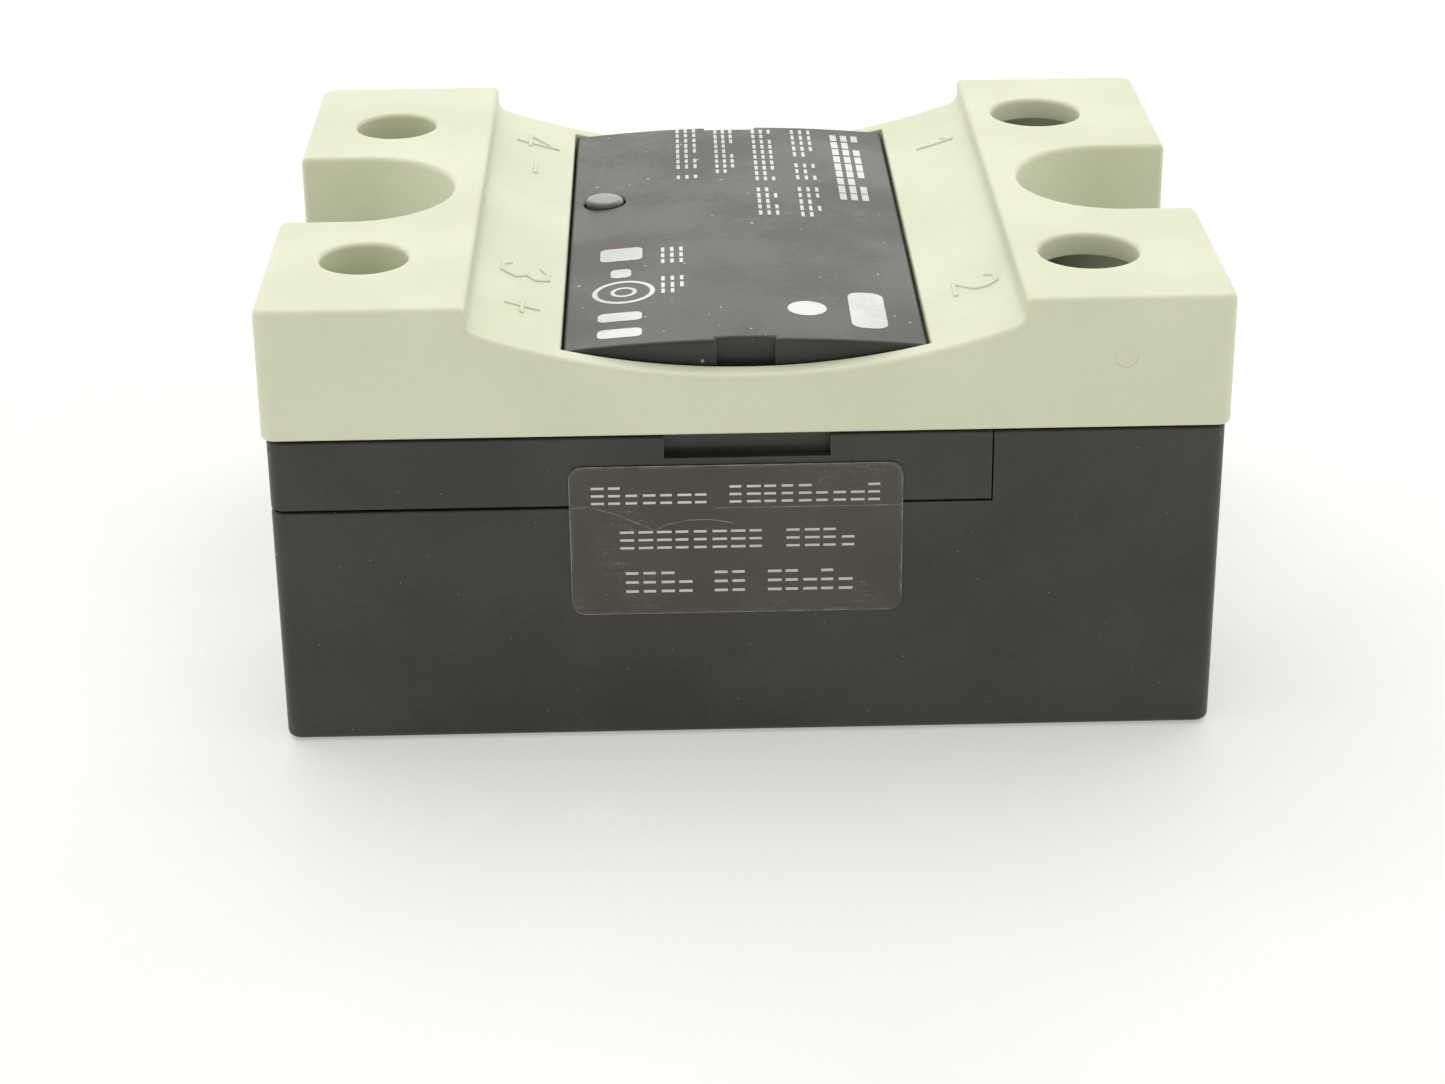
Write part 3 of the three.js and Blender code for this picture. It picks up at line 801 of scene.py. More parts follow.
NICKEL = Finish(
    "nickel plating", "nickel_plate", (0.56, 0.54, 0.49), (0.44, 0.42, 0.38), (0.2, 0.38), metallic=1,
    grain=0.15, relief=0.12, worn=(0.7, 0.66, 0.58), wear=0.4, scratches=0.6, dust=0.5,
)
BLACK = Finish(
    "black moulded resin", "black_resin", (0.018, 0.018, 0.014), (0.033, 0.033, 0.027), (0.3, 0.44), grain=0.1,
    relief=0.16, worn=(0.075, 0.073, 0.062), wear=0.45, scratches=0.35, dust=0.9, dust_share=0.75,
)
PALE = Finish(
    "pale moulded resin", "pale_resin", (0.71, 0.735, 0.548), (0.68, 0.705, 0.515), (0.42, 0.54), grain=0.13,
    relief=0.12, worn=(0.78, 0.79, 0.66), wear=0.3, scratches=0.2, glow=0.12,
)
INK = Finish(
    "white ink", "black_resin", (0.78, 0.79, 0.76), (0.6, 0.6, 0.57), (0.4, 0.55), grain=0.08, relief=0.1
)
RED = Finish("red fleck", "black_resin", (0.5, 0.03, 0.02), (0.35, 0.02, 0.015), (0.4, 0.5), grain=0.1)
FILM = Finish(
    "seal film", "seal_film", (0.045, 0.039, 0.028), (0.06, 0.053, 0.038), (0.2, 0.3), grain=0.5, relief=0.12,
    worn=(0.3, 0.29, 0.24), wear=0.5, scratches=0.8, dust=0.8, dust_share=0.6,
)
CUT_EDGE = Finish(
    "film edge", "seal_film", (0.26, 0.25, 0.2), (0.12, 0.11, 0.085), (0.3, 0.45), grain=0.1, mottle=0.8
)
FILM_INK = Finish("seal print", "seal_film", (0.68, 0.67, 0.6), (0.55, 0.54, 0.48), (0.35, 0.5), grain=0.08)
LENS = Finish(
    "light pipe", "light_pipe", (0.075, 0.083, 0.067), (0.11, 0.12, 0.095), (0.16, 0.26), grain=0.4,
    relief=0.08, coat=0.6, dust=0.5,
)
ZINC = Finish(
    "zinc screw", "zinc_screw", (0.42, 0.41, 0.35), (0.33, 0.32, 0.26), (0.3, 0.46), metallic=1, grain=0.1,
    relief=0.2, worn=(0.6, 0.58, 0.5), wear=0.6, dust=0.4,
)
TIN = Finish(
    "tin plating", "tinned", (0.6, 0.59, 0.55), (0.5, 0.49, 0.45), (0.26, 0.42), metallic=1, grain=0.12,
    relief=0.15, worn=(0.66, 0.6, 0.5), wear=0.4, dust=0.3,
)
SWEEP = Finish(
    "pale sweep", "floor", (0.6, 0.6, 0.585), (0.575, 0.575, 0.555), (0.6, 0.7), grain=1.4, relief=0.05,
    mottle=60, dust=0.5, dust_share=0.04, shine=0.62,
)
COPPER = Finish(
    "bare copper", "copper", (0.8, 0.4, 0.26), (0.62, 0.28, 0.18), (0.25, 0.4), metallic=1, wear=0.3
)
INNER_FINISHES: dict[str, Finish] = {
    finish.slot: finish
    for finish in (
        TIN,
        Finish("potting resin", "potting", (0.05, 0.052, 0.055), (0.08, 0.08, 0.082), (0.2, 0.35), grain=0.9),
        COPPER,
        Finish("white ceramic", "ceramic", (0.76, 0.75, 0.71), (0.68, 0.67, 0.63), (0.35, 0.5), relief=0.1),
        Finish("silicon die", "silicon", (0.08, 0.085, 0.11), (0.1, 0.1, 0.13), (0.08, 0.16), relief=0.05),
        Finish("green solder mask", "circuit_board", (0.03, 0.15, 0.06), (0.025, 0.12, 0.05), (0.25, 0.4)),
        Finish("black package", "package", (0.03, 0.03, 0.032), (0.045, 0.045, 0.046), (0.45, 0.6), wear=0.2),
        Finish("blue sleeve", "can_sleeve", (0.03, 0.045, 0.12), (0.04, 0.055, 0.14), (0.2, 0.3), wear=0.2),
        Finish("blue dipped coating", "disc_coating", (0.03, 0.12, 0.35), (0.025, 0.1, 0.3), (0.25, 0.4)),
    )
}


# ---------------------------------------------------------------- shared shapes


@dataclass(frozen=True)
class Plan:
    """Plan of a plastic part: a rectangle with a mounting notch running in from each end."""

    half_x: float
    half_y: float
    notch_r: float = 6.3
    notch_x: float = 24.75
    corner: float = 0.9

    def inset(self, by: float) -> "Plan":
        """Returns the plan taken in by a distance all round."""
        return Plan(self.half_x - by, self.half_y - by, self.notch_r + by)

    def block(self, z: Span) -> Solid:
        """Returns the plan, extruded between two heights.

        Args:
            z: Its lowest and highest height.

        Returns:
            The solid.
        """
        outline = rounded_rectangle(about(0, self.half_x), about(0, self.half_y), self.corner)
        tall = (z[0] - 1, z[1] + 1)
        reach = self.half_x + 1
        notches = [channel(end, self.notch_x, self.notch_r, reach) for end in (1, -1)]
        return Solid.prism(outline, Axis.Z, z).cut(Solid.prism(n, Axis.Z, tall) for n in notches)

    def is_notch_rim(self, point: Vector) -> bool:
        """Tells whether a point lies on the edge of a notch."""
        x, y = abs(point.x) - self.notch_x, abs(point.y)
        away = math.hypot(x, y) if x < 0 else y
        return abs(away - self.notch_r) < NEAR and x < self.half_x - self.notch_x

    def is_outside(self, point: Vector) -> bool:
        """Tells whether a point lies on the plan's outer edge, notches left out.

        Args:
            point: A point of the part.

        Returns:
            True on the outer edge.
        """
        x = abs(point.x) - self.half_x + self.corner
        y = abs(point.y) - self.half_y + self.corner
        away = math.hypot(x, y) if min(x, y) > 0 else max(x, y)
        return abs(away - self.corner) < NEAR


@dataclass(frozen=True)
class Bow:
    """A surface that is flat along Y and follows a circle along X."""

    middle_z: float
    radius: float

    def height(self, x: float) -> float:
        """Returns the surface's height. A negative radius crowns it."""
        return self.middle_z + self.radius - math.copysign(math.sqrt(self.radius**2 - x * x), self.radius)

    def outline(self, half: float, drop: float = 0, through: float = 0, steps: int = 48) -> list[Point]:
        """Returns points along the surface.

        Args:
            half: The points run from minus this to this.
            drop: How far they are lowered.
            through: The points nearest this and minus this are moved onto them.
            steps: Number of chords.

        Returns:
            The points.
        """
        across = [half * (2 * i / steps - 1) for i in range(steps + 1)]
        for exact in (through, -through):
            nearest = min(range(steps + 1), key=lambda i: abs(across[i] - exact))
            across[nearest] = exact
        return [(x, self.height(x) - drop) for x in across]


def mirrored(x: Span, y: Span, z: Span) -> list[Solid]:
    """Returns the same box on all four quarters of the relay."""
    signs = [(i, j) for i in (1, -1) for j in (1, -1)]
    return [Solid.box(between(i * x[0], i * x[1]), between(j * y[0], j * y[1]), z) for i, j in signs]


@dataclass(frozen=True)
class Terminal:
    """Where one terminal stands and what the shells leave open for it.

    Attributes:
        kind: "output" or "control".
        number: The terminal's number.
        access: Radius of the driver's hole in the cover.
        chamber: Nearest and furthest side of its chamber from the middle.
        entry: Half the width of its wire entry.
        collar: Depth of the collar round the driver's hole, inside the cover.
        well: Radius of the well below the screw.
        boss: Radius of the recess for the lug's boss, and its depth.
        leg: Nearest and furthest side of the slot for the lug's leg, and its half width.
    """

    kind: str
    number: int
    access: float
    chamber: Span
    entry: float
    collar: float
    well: float
    boss: Span
    leg: Triple

    @property
    def place(self) -> Vector:
        """Returns the middle of the screw, in millimetres."""
        return Extent.of(self.node("screw")).middle

    @property
    def end(self) -> int:
        """Returns 1 at the output end and -1 at the control end."""
        return 1 if self.place.x > 0 else -1

    @property
    def side(self) -> int:
        """Returns 1 at the rear and -1 at the front."""
        return 1 if self.place.y > 0 else -1

    def outwards(self, inner: float, outer: float) -> Span:
        """Returns the span between two distances from the middle, at the terminal's end."""
        return between(self.end * inner, self.end * outer)

    def node(self, part: str) -> str:
        """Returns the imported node's name for one of its parts."""
        return f"{self.kind}_{part}_{self.number}"

    def post(self, radius: float, z: Span) -> Solid:
        """Returns a post on the screw's axis."""
        return Solid.post((self.place.x, self.place.y), radius, z)

    def rim_distance(self, point: Vector) -> float:
        """Returns how far a point is from the edge of the driver's hole."""
        return abs(math.hypot(point.x - self.place.x, point.y - self.place.y) - self.access)


def output_terminal(number: int) -> Terminal:
    """Returns one of the two output terminals."""
    return Terminal("output", number, 3.05, (9, 19.5), 5, 0, 3.2, (4, 1.8), (16.6, 18.2, 3.8))


def control_terminal(number: int) -> Terminal:
    """Returns one of the two control terminals."""
    return Terminal("control", number, 2.7, (9, 17.6), 4, 2.8, 2.1, (2.7, 1.3), (-18, -16.6, 1.3))


TERMINALS = (output_terminal(1), output_terminal(2), control_terminal(3), control_terminal(4))

# Sizes that the housing's two shells share: the notches' radius, the crowned top of the panel, and the wire
# entries' sill, as its distance from the middle, its height and the height of the opening's top.
HOUSING_NOTCH_R = 6.55
CROWN = Bow(25.95, -100)
SILL: Triple = (26.2, 18.4, 21.5)


# ---------------------------------------------------------------- marks


Segment = tuple[Point, Point]
Lay = Callable[[Point, float], Triple]
TWO_DASHES: tuple[Segment, ...] = (((0, 0), (1, 0)), ((0, 0.5), (1, 0.5)))
THREE_DASHES: tuple[Segment, ...] = (*TWO_DASHES, ((0, 1), (1, 1)))
BLANKS = (THREE_DASHES, THREE_DASHES, TWO_DASHES)

GLYPHS: dict[str, tuple[tuple[Point, ...], ...]] = {
    "1": (((0.2, 0.75), (0.55, 1), (0.55, 0)),),
    "2": (((0, 0.8), (0.2, 1), (0.6, 1), (0.75, 0.75), (0.7, 0.5), (0, 0), (0.8, 0)),),
    "3": (((0, 0.85), (0.25, 1), (0.6, 1), (0.75, 0.75), (0.55, 0.53), (0.3, 0.53)),
          ((0.55, 0.53), (0.78, 0.3), (0.6, 0), (0.2, 0), (0, 0.15))),
    "4": (((0.6, 0), (0.6, 1), (0, 0.3), (0.8, 0.3)),),
    "+": (((0, 0.5), (0.7, 0.5)), ((0.35, 0.15), (0.35, 0.85))),
    "-": (((0, 0.5), (0.7, 0.5)),),
}


def strip(bm: BMesh, line: Segment, width: float, lay: Lay, height: Span, steps: int = 4) -> None:
    """Adds a straight ridge or a thin line of ink that follows a surface.

    Args:
        bm: The bmesh to add to.
        line: Start and end, in the surface's plan.
        width: Width of the ridge.
        lay: Turns a place in plan and a height above the surface into a point in space.
        height: Heights of its foot and its top above the surface.
        steps: Pieces along its length.
    """
    start, end = Vector(line[0]), Vector(line[1])
    along = (end - start).normalized() * width / 2
    across = Vector((-along.y, along.x))
    overrun = along * 0.9
    start, end = start - overrun, end + overrun
    rings = []
    for i in range(steps + 1):
        place_at = start.lerp(end, i / steps)
        sides = (place_at + across, place_at - across)
        top = [lay(tuple(side), height[1]) for side in sides]
        foot = [lay(tuple(side), height[0]) for side in reversed(sides)]
        rings.append([bm.verts.new(corner) for corner in top + foot])
    bm.faces.new(rings[0])
    bm.faces.new(rings[-1])
    for near, far in zip(rings, rings[1:]):
        for i in range(4):
            bm.faces.new((near[i - 1], near[i], far[i], far[i - 1]))


@dataclass(frozen=True)
class RaisedMark:
    """Moulded signs that read towards the front and stand with their tops towards the output end.

    Attributes:
        signs: What it reads.
        foot_x: Where the signs' feet are.
        start_y: Where the first sign starts.
        height: Height of the signs.
        pitch: Distance from one sign to the next.
    """

    signs: str
    foot_x: float
    start_y: float
    height: float
    pitch: float

    def lines(self) -> list[Segment]:
        """Returns the strokes, in plan."""
        found = []
        for i, sign in enumerate(self.signs):
            for stroke in GLYPHS.get(sign, ()):
                points = [
                    (self.foot_x + v * self.height, self.start_y - i * self.pitch - u * self.height)
                    for u, v in stroke
                ]
                found += list(zip(points, points[1:]))
        return found


@dataclass(frozen=True)
class PrintedRow:
    """A row of blank signs that stands for a line of print.

    Attributes:
        feet: Where the signs' feet and tops are.
        run: Where the row starts and ends.
        words: Number of signs in each word.
        pen: Width of the lines.
        fill: Share of its place that a sign takes.
    """

    feet: Span
    run: Span
    words: tuple[int, ...]
    pen: float = 0.22
    fill: float = 0.55

    def lines(self, chance: random.Random) -> list[Segment]:
        """Returns the signs' lines, with the place along the row first.

        Args:
            chance: Chooses the signs.

        Returns:
            Start and end of each line.
        """
        places = sum(self.words) + len(self.words) - 1
        pitch = (self.run[1] - self.run[0]) / places
        rise = self.feet[1] - self.feet[0] - self.pen
        found, at = [], 0
        for word in self.words:
            for i in range(word):
                sign, width = chance.choice(BLANKS), pitch * self.fill * chance.uniform(0.85, 1.1)
                left, foot = self.run[0] + (at + i) * pitch, self.feet[0] + self.pen / 2
                for line in sign:
                    found.append(tuple((left + u * width, foot + v * rise) for u, v in line))
            at += word + 1
        return found


# ---------------------------------------------------------------- sub-assemblies


@dataclass
class BasePlate:
    """The metal plate that closes the underside and takes the mounting screws.

    Attributes:
        corner: Rounding of its corners, in plan.
        slot_r: Half the width of its two screw slots.
        stretch: Half of how much longer than wide the closed slot is.
        seat_r: Radius of the raised washer seats.
        seat_rise: Their height above the plate.
        edge: Rounding of the plate's edges.
        seat_edge: Rounding of the seats' edges.
        pitch: Distance between the mounting screws.
    """

    corner: float = 1.0
    slot_r: float = 2.6
    stretch: float = 0.6
    seat_r: float = 5.0
    seat_rise: float = 0.2
    edge: float = 0.35
    seat_edge: float = 0.12
    pitch: float = 47.6

    def build(self) -> list[Piece]:
        """Builds the plate.

        Returns:
            The new pieces.
        """
        box = Extent.of("base_plate")
        x, y = (box.low.x, box.high.x), (box.low.y, box.high.y)
        face = box.high.z - self.seat_rise
        blank = Solid.prism(rounded_rectangle(x, y, self.corner), Axis.Z, (box.low.z, face))
        limits = Solid.box(x, y, TALL)
        centres = [(end * self.pitch / 2, 0.0) for end in (1, -1)]
        seats = [Solid.post(c, self.seat_r, (face - 1, box.high.z)).common(limits) for c in centres]
        open_slot = Solid.prism(channel(-1, self.pitch / 2, self.slot_r, x[1] + 1), Axis.Z, TALL)
        slot_x = about(self.pitch / 2, self.stretch + self.slot_r)
        closed = rounded_rectangle(slot_x, about(0, self.slot_r), self.slot_r - HAIR, 24)
        plate = blank.add(seats).cut([open_slot, Solid.prism(closed, Axis.Z, TALL)])
        plate = plate.rounded(lambda a, b: self.edge if max(a.z, b.z) < face - NEAR else self.seat_edge)
        return [place("base_plate_dressed", plate, NICKEL, "root", "base_plate")]


@dataclass
class LowerHousing:
    """The lower shell: a tall box that reaches up to the cover at the output end.

    Attributes:
        wall: Thickness of its walls.
        split_z: Height of the seam below the upper shell's band.
        split_x: Where the seam rises to the cover.
        plate_seat: Half the size along X and along Y, and the height, of the recess for the base plate.
        foot_edge: Rounding of its foot.
        rim_edge: Rounding of its upper rims.
        corner_edge: Rounding of the notches' outer corners.
    """

    wall: float = 1.3
    split_z: float = 15.7
    split_x: float = 14.85
    plate_seat: Triple = (28.1, 21.1, 3.05)
    foot_edge: float = 0.4
    rim_edge: float = 0.16
    corner_edge: float = 0.35

    def build(self) -> list[Piece]:
        """Builds the shell.

        Returns:
            The new pieces.
        """
        box = Extent.of("lower_housing")
        plan = Plan(box.high.x, box.high.y, HOUSING_NOTCH_R)
        inside = plan.inset(self.wall).block(TALL)
        seat_x, seat_y, seat_z = self.plate_seat
        cutters = [
            inside,
            Solid.slab(seat_x, seat_y, (-1, seat_z)),
            Solid.box((box.low.x - 1, self.split_x), about(0, box.high.y + 1), (self.split_z, TALL[1])),
            *entry_cuts("output"),
        ]
        shell = plan.block((box.low.z, box.high.z)).cut(cutters)

        def radius(a: Vector, b: Vector) -> float:
            """Rounds the foot, the rims and the notch's corners, and leaves the inside alone.

            Args:
                a: One end of the edge.
                b: Its other end.

            Returns:
                The radius for that edge.
            """
            outside = plan.is_outside(a) and plan.is_outside(b)
            at_notch = plan.is_notch_rim(a) and plan.is_notch_rim(b)
            if max(a.z, b.z) < box.low.z + NEAR:
                return self.foot_edge if outside or at_notch else 0.0
            if outside and abs(a.z - b.z) > 1:
                return self.corner_edge if abs(abs(a.y) - plan.notch_r) < NEAR else 0.0
            return self.rim_edge if outside or at_notch else 0.0

        return [place("lower_housing_dressed", shell.rounded(radius), BLACK, "root", "lower_housing")]


def entry_cuts(kind: str) -> list[Solid]:
    """Returns the cuts for the wire entries of the "output" or the "control" terminals."""
    inner, foot, top = SILL
    chosen = [t for t in TERMINALS if t.kind == kind]
    return [Solid.box(t.outwards(inner, PAST_END), about(t.place.y, t.entry), (foot, top)) for t in chosen]


@dataclass
class UpperHousing:
    """The upper shell: a band above the seam, the terminal chambers and the crowned centre panel.

    Attributes:
        wall: Thickness of the lower shell's wall, inside which it fits.
        gap: Play between the shells.
        band: Heights of the band that shows above the seam.
        band_end: Where the band ends, towards the output.
        lip: Depth and thickness of the lip inside the lower shell.
        deck_z: Height of the deck that the lugs lie on.
        shoulder: Where the chambers start along X, and the height of the body round the panel.
        panel: Half the panel's size along X and along Y.
        groove: Half the width and the depth of the groove at each end of the panel.
        pocket: Half the width, the depth and the heights of the pocket for lifting the cover.
        latch: Spans of the opening for a latch.
        hollows: Half the size along X and along Y, and the height, of each hollow below the panel.
        well_wall: Thickness of the wall round a screw's well.
        well_feet: Heights of the foot of that wall and of the well's floor.
        light_r: Radius of the hole for the light pipe.
        crown_edge: Rounding of the panel's top edges.
        rim_edge: Rounding of the other edges that show.
    """

    wall: float = 1.3
    gap: float = 0.15
    band: Span = (15.8, 20.3)
    band_end: float = 14.75
    lip: Span = (1.5, 1.0)
    deck_z: float = 17.8
    shoulder: Span = (16.8, 22.5)
    panel: Span = (10.9, 20.75)
    groove: Span = (1.75, 0.45)
    pocket: tuple[float, float, Span] = (5.0, 0.85, (18.9, 21.3))
    latch: tuple[Span, Span, Span] = ((11.2, 13.9), (19.65, 21.25), (18.3, PAST_TOP))
    hollows: tuple[Triple, ...] = ((9.7, 18.7, 24.4), (15.4, 18.7, 21.3))
    well_wall: float = 1
    well_feet: Span = (10.2, 11)
    light_r: float = 1.375
    crown_edge: float = 0.22
    rim_edge: float = 0.14

    def build(self) -> list[Piece]:
        """Builds the shell.

        Returns:
            The new pieces.
        """
        lower = Extent.of("lower_housing")
        self.plan = Plan(lower.high.x, lower.high.y, HOUSING_NOTCH_R)
        shell = self._band().add([self._block(), self._tower(), *self._wells()]).cut(self._openings())
        shell = shell.rounded(self._radius)
        return [place("upper_housing_dressed", shell, BLACK, "root", "upper_housing")]

    def _band(self) -> Solid:
        """Returns the band that shows above the seam."""
        x = (-self.plan.half_x - 1, self.band_end)
        return self.plan.block(self.band).common(Solid.box(x, about(0, self.plan.half_y + 1), TALL))

    def _block(self) -> Solid:
        """Returns the body that fills the lower shell's mouth, with its thin lip."""
        body = self.plan.inset(self.wall + self.gap)
        depth, thick = self.lip
        hollow = body.inset(thick).block((0, self.band[0]))
        return body.block((self.band[0] - depth, self.shoulder[1])).cut([hollow])

    def _tower(self) -> Solid:
        """Returns the crowned centre panel."""
        half_x, half_y = self.panel
        foot = self.band[1] - 1
        top = CROWN.outline(half_x, through=self.groove[0])
        outline = [(half_x, foot), *reversed(top), (-half_x, foot)]
        return Solid.prism(outline, Axis.Y, about(0, half_y))

    def _wells(self) -> list[Solid]:
        """Returns the posts round the wells below the screws."""
        return [t.post(t.well + self.well_wall, (self.well_feet[0], self.deck_z)) for t in TERMINALS]

    def _openings(self) -> list[Solid]:
        """Returns everything that is cut from the shell."""
        cuts: list[Solid] = []
        above = self.deck_z + 1
        for t in TERMINALS:
            cuts += self._chamber(t)
            cuts.append(t.post(t.well, (self.well_feet[1], above)))
            cuts.append(t.post(t.boss[0], (self.deck_z - t.boss[1], above)))
            cuts.append(Solid.box(t.leg[:2], about(t.place.y, t.leg[2]), (0, above)))
        cuts += entry_cuts("control")
        cuts += [Solid.slab(x, y, (0, z)) for x, y, z in self.hollows]
        groove_x, groove = self.groove
        pocket_x, pocket, pocket_z = self.pocket
        for side in (1, -1):
            groove_y = between(side * (self.panel[1] - groove), side * PAST_SIDE)
            pocket_y = between(side * (self.plan.half_y - pocket), side * PAST_SIDE)
            cuts.append(Solid.box(about(0, groove_x), groove_y, (self.shoulder[1], PAST_TOP)))
            cuts.append(Solid.box(about(0, pocket_x), pocket_y, pocket_z))
        cuts += mirrored(*self.latch)
        light = Extent.of("light_pipe").middle
        cuts.append(Solid.post((light.x, light.y), self.light_r, (self.band[1], PAST_TOP)))
        return cuts

    def _chamber(self, terminal: Terminal) -> list[Solid]:
        """Returns the space round one terminal, open at the top and at its end.

        Args:
            terminal: The terminal.

        Returns:
            The cuts.
        """
        y = between(*(terminal.side * c for c in terminal.chamber))
        start = self.shoulder[0]
        rim = self.plan.half_x - self.wall - self.gap
        floor = self.deck_z if terminal.end > 0 else self.band[1]
        return [
            Solid.box(terminal.outwards(start, rim), y, (self.deck_z, PAST_TOP)),
            Solid.box(terminal.outwards(start, PAST_END), y, (floor, PAST_TOP)),
        ]

    def _radius(self, a: Vector, b: Vector) -> float:
        """Rounds the crown's edges and the band's rims, and leaves the inside alone.

        Args:
            a: One end of the edge.
            b: Its other end.

        Returns:
            The radius for that edge.
        """
        middle = (a + b) / 2
        if min(a.z, b.z) > self.shoulder[1] + 0.5:
            return self.crown_edge if abs(a.z - b.z) < 1 else self.rim_edge
        outside = self.plan.is_outside(a) and self.plan.is_outside(b)
        upright = abs(a.z - b.z) > 1
        return self.rim_edge if outside and not upright and middle.z > self.band[0] - NEAR else 0.0


@dataclass
class PanelPrint:
    """White marks on the centre panel, drawn as plain shapes.

    Attributes:
        ink: Foot and top of the ink, above the crown.
        rows: Rows of blank signs.
        rings: Centre, radius and line width of each ring.
        plates: Spans of the small plates.
        emblem_disc: Centre and radius of the disc.
        emblem_plate: Spans of the large plate.
        fleck: Spans of the stray red fleck.
        plate_corner: Rounding of the small plates; the next two are the large plate's and the fleck's.
        slices: Strips that a plate is cut in, so that it follows the crown.
    """

    ink: Span = (-0.03, 0.012)
    rows: tuple[PrintedRow, ...] = (
        PrintedRow((7.15, 9.1), (19.0, 4.6), (9,), 0.46, 0.62),
        PrintedRow((4.35, 5.75), (19.95, 0.9), (5, 3, 5)),
        PrintedRow((1.55, 2.9), (19.9, 1.2), (10, 5)),
        PrintedRow((-1.15, 0.15), (19.9, 9.9), (9,)),
        PrintedRow((-3.85, -2.45), (20.4, 8.9), (8, 1)),
        PrintedRow((-5.0, -3.6), (-4.3, -7.5), (3,)),
        PrintedRow((-5.0, -3.6), (-9.6, -12.9), (3,)),
    )
    rings: tuple[tuple[Point, float, float], ...] = (((-7.35, -11.8), 1.8, 0.3), ((-7.35, -11.8), 0.7, 0.25))
    plates: tuple[tuple[Span, Span], ...] = (
        ((-8.9, -6.2), (-6.1, -3.8)), ((-8.2, -6.9), (-9.2, -7.7)), ((-8.9, -6.2), (-16.7, -15.3)),
        ((-8.9, -6.2), (-19.4, -18.0)),
    )
    emblem_disc: tuple[Point, float] = ((3.9, -15.6), 1.2)
    emblem_plate: tuple[Span, Span] = ((6.5, 8.7), (-18.6, -12.6))
    fleck: tuple[Span, Span] = ((-8.05, -7.8), (-3.55, -3.35))
    plate_corner: float = 0.4
    emblem_corner: float = 0.8
    fleck_corner: float = 0.08
    slices: int = 10

    def build(self) -> list[Piece]:
        """Builds the print and its one stray red fleck.

        Returns:
            The new pieces.
        """
        chance = random.Random(4)
        bm = bmesh.new()
        for row in self.rows:
            for (y0, x0), (y1, x1) in row.lines(chance):
                strip(bm, ((x0, y0), (x1, y1)), row.pen, self._lay, self.ink)
        for centre, radius, pen in self.rings:
            points = arc(centre, radius, 0, 360, 40)
            for line in zip(points, points[1:]):
                strip(bm, line, pen, self._lay, self.ink, 1)
        for x, y in self.plates:
            self._plate(bm, rounded_rectangle(x, y, self.plate_corner, 5))
        self._plate(bm, rounded_rectangle(*self.emblem_plate, self.emblem_corner, 6))
        self._plate(bm, circle(*self.emblem_disc))
        ink = place("panel_print", Solid.of(bm), INK, "root")
        bm = bmesh.new()
        self._plate(bm, rounded_rectangle(*self.fleck, self.fleck_corner, 3))
        return [ink, place("panel_fleck", Solid.of(bm), RED, "root")]

    def _lay(self, point: Point, height: float) -> Triple:
        """Returns the place at a height above the crown."""
        return (point[0], point[1], CROWN.height(point[0]) + height)

    def _plate(self, bm: BMesh, outline: Sequence[Point]) -> None:
        """Lays a solid shape of ink on the crown.

        Args:
            bm: The bmesh to add to.
            outline: The shape's outline, in plan.
        """
        x = [p[0] for p in outline]
        step = (max(x) - min(x)) / self.slices
        bare = Solid.prism(outline, Axis.Z, self.ink)
        part = bmesh.new()
        part.from_mesh(bare.mesh)
        for i in range(1, self.slices):
            geom = part.verts[:] + part.edges[:] + part.faces[:]
            bmesh.ops.bisect_plane(part, geom=geom, plane_co=(min(x) + i * step, 0, 0), plane_no=(1, 0, 0))
        for vert in part.verts:
            vert.co.z += CROWN.height(vert.co.x)
        part.to_mesh(bare.mesh)
        part.free()
        bm.from_mesh(bare.mesh)


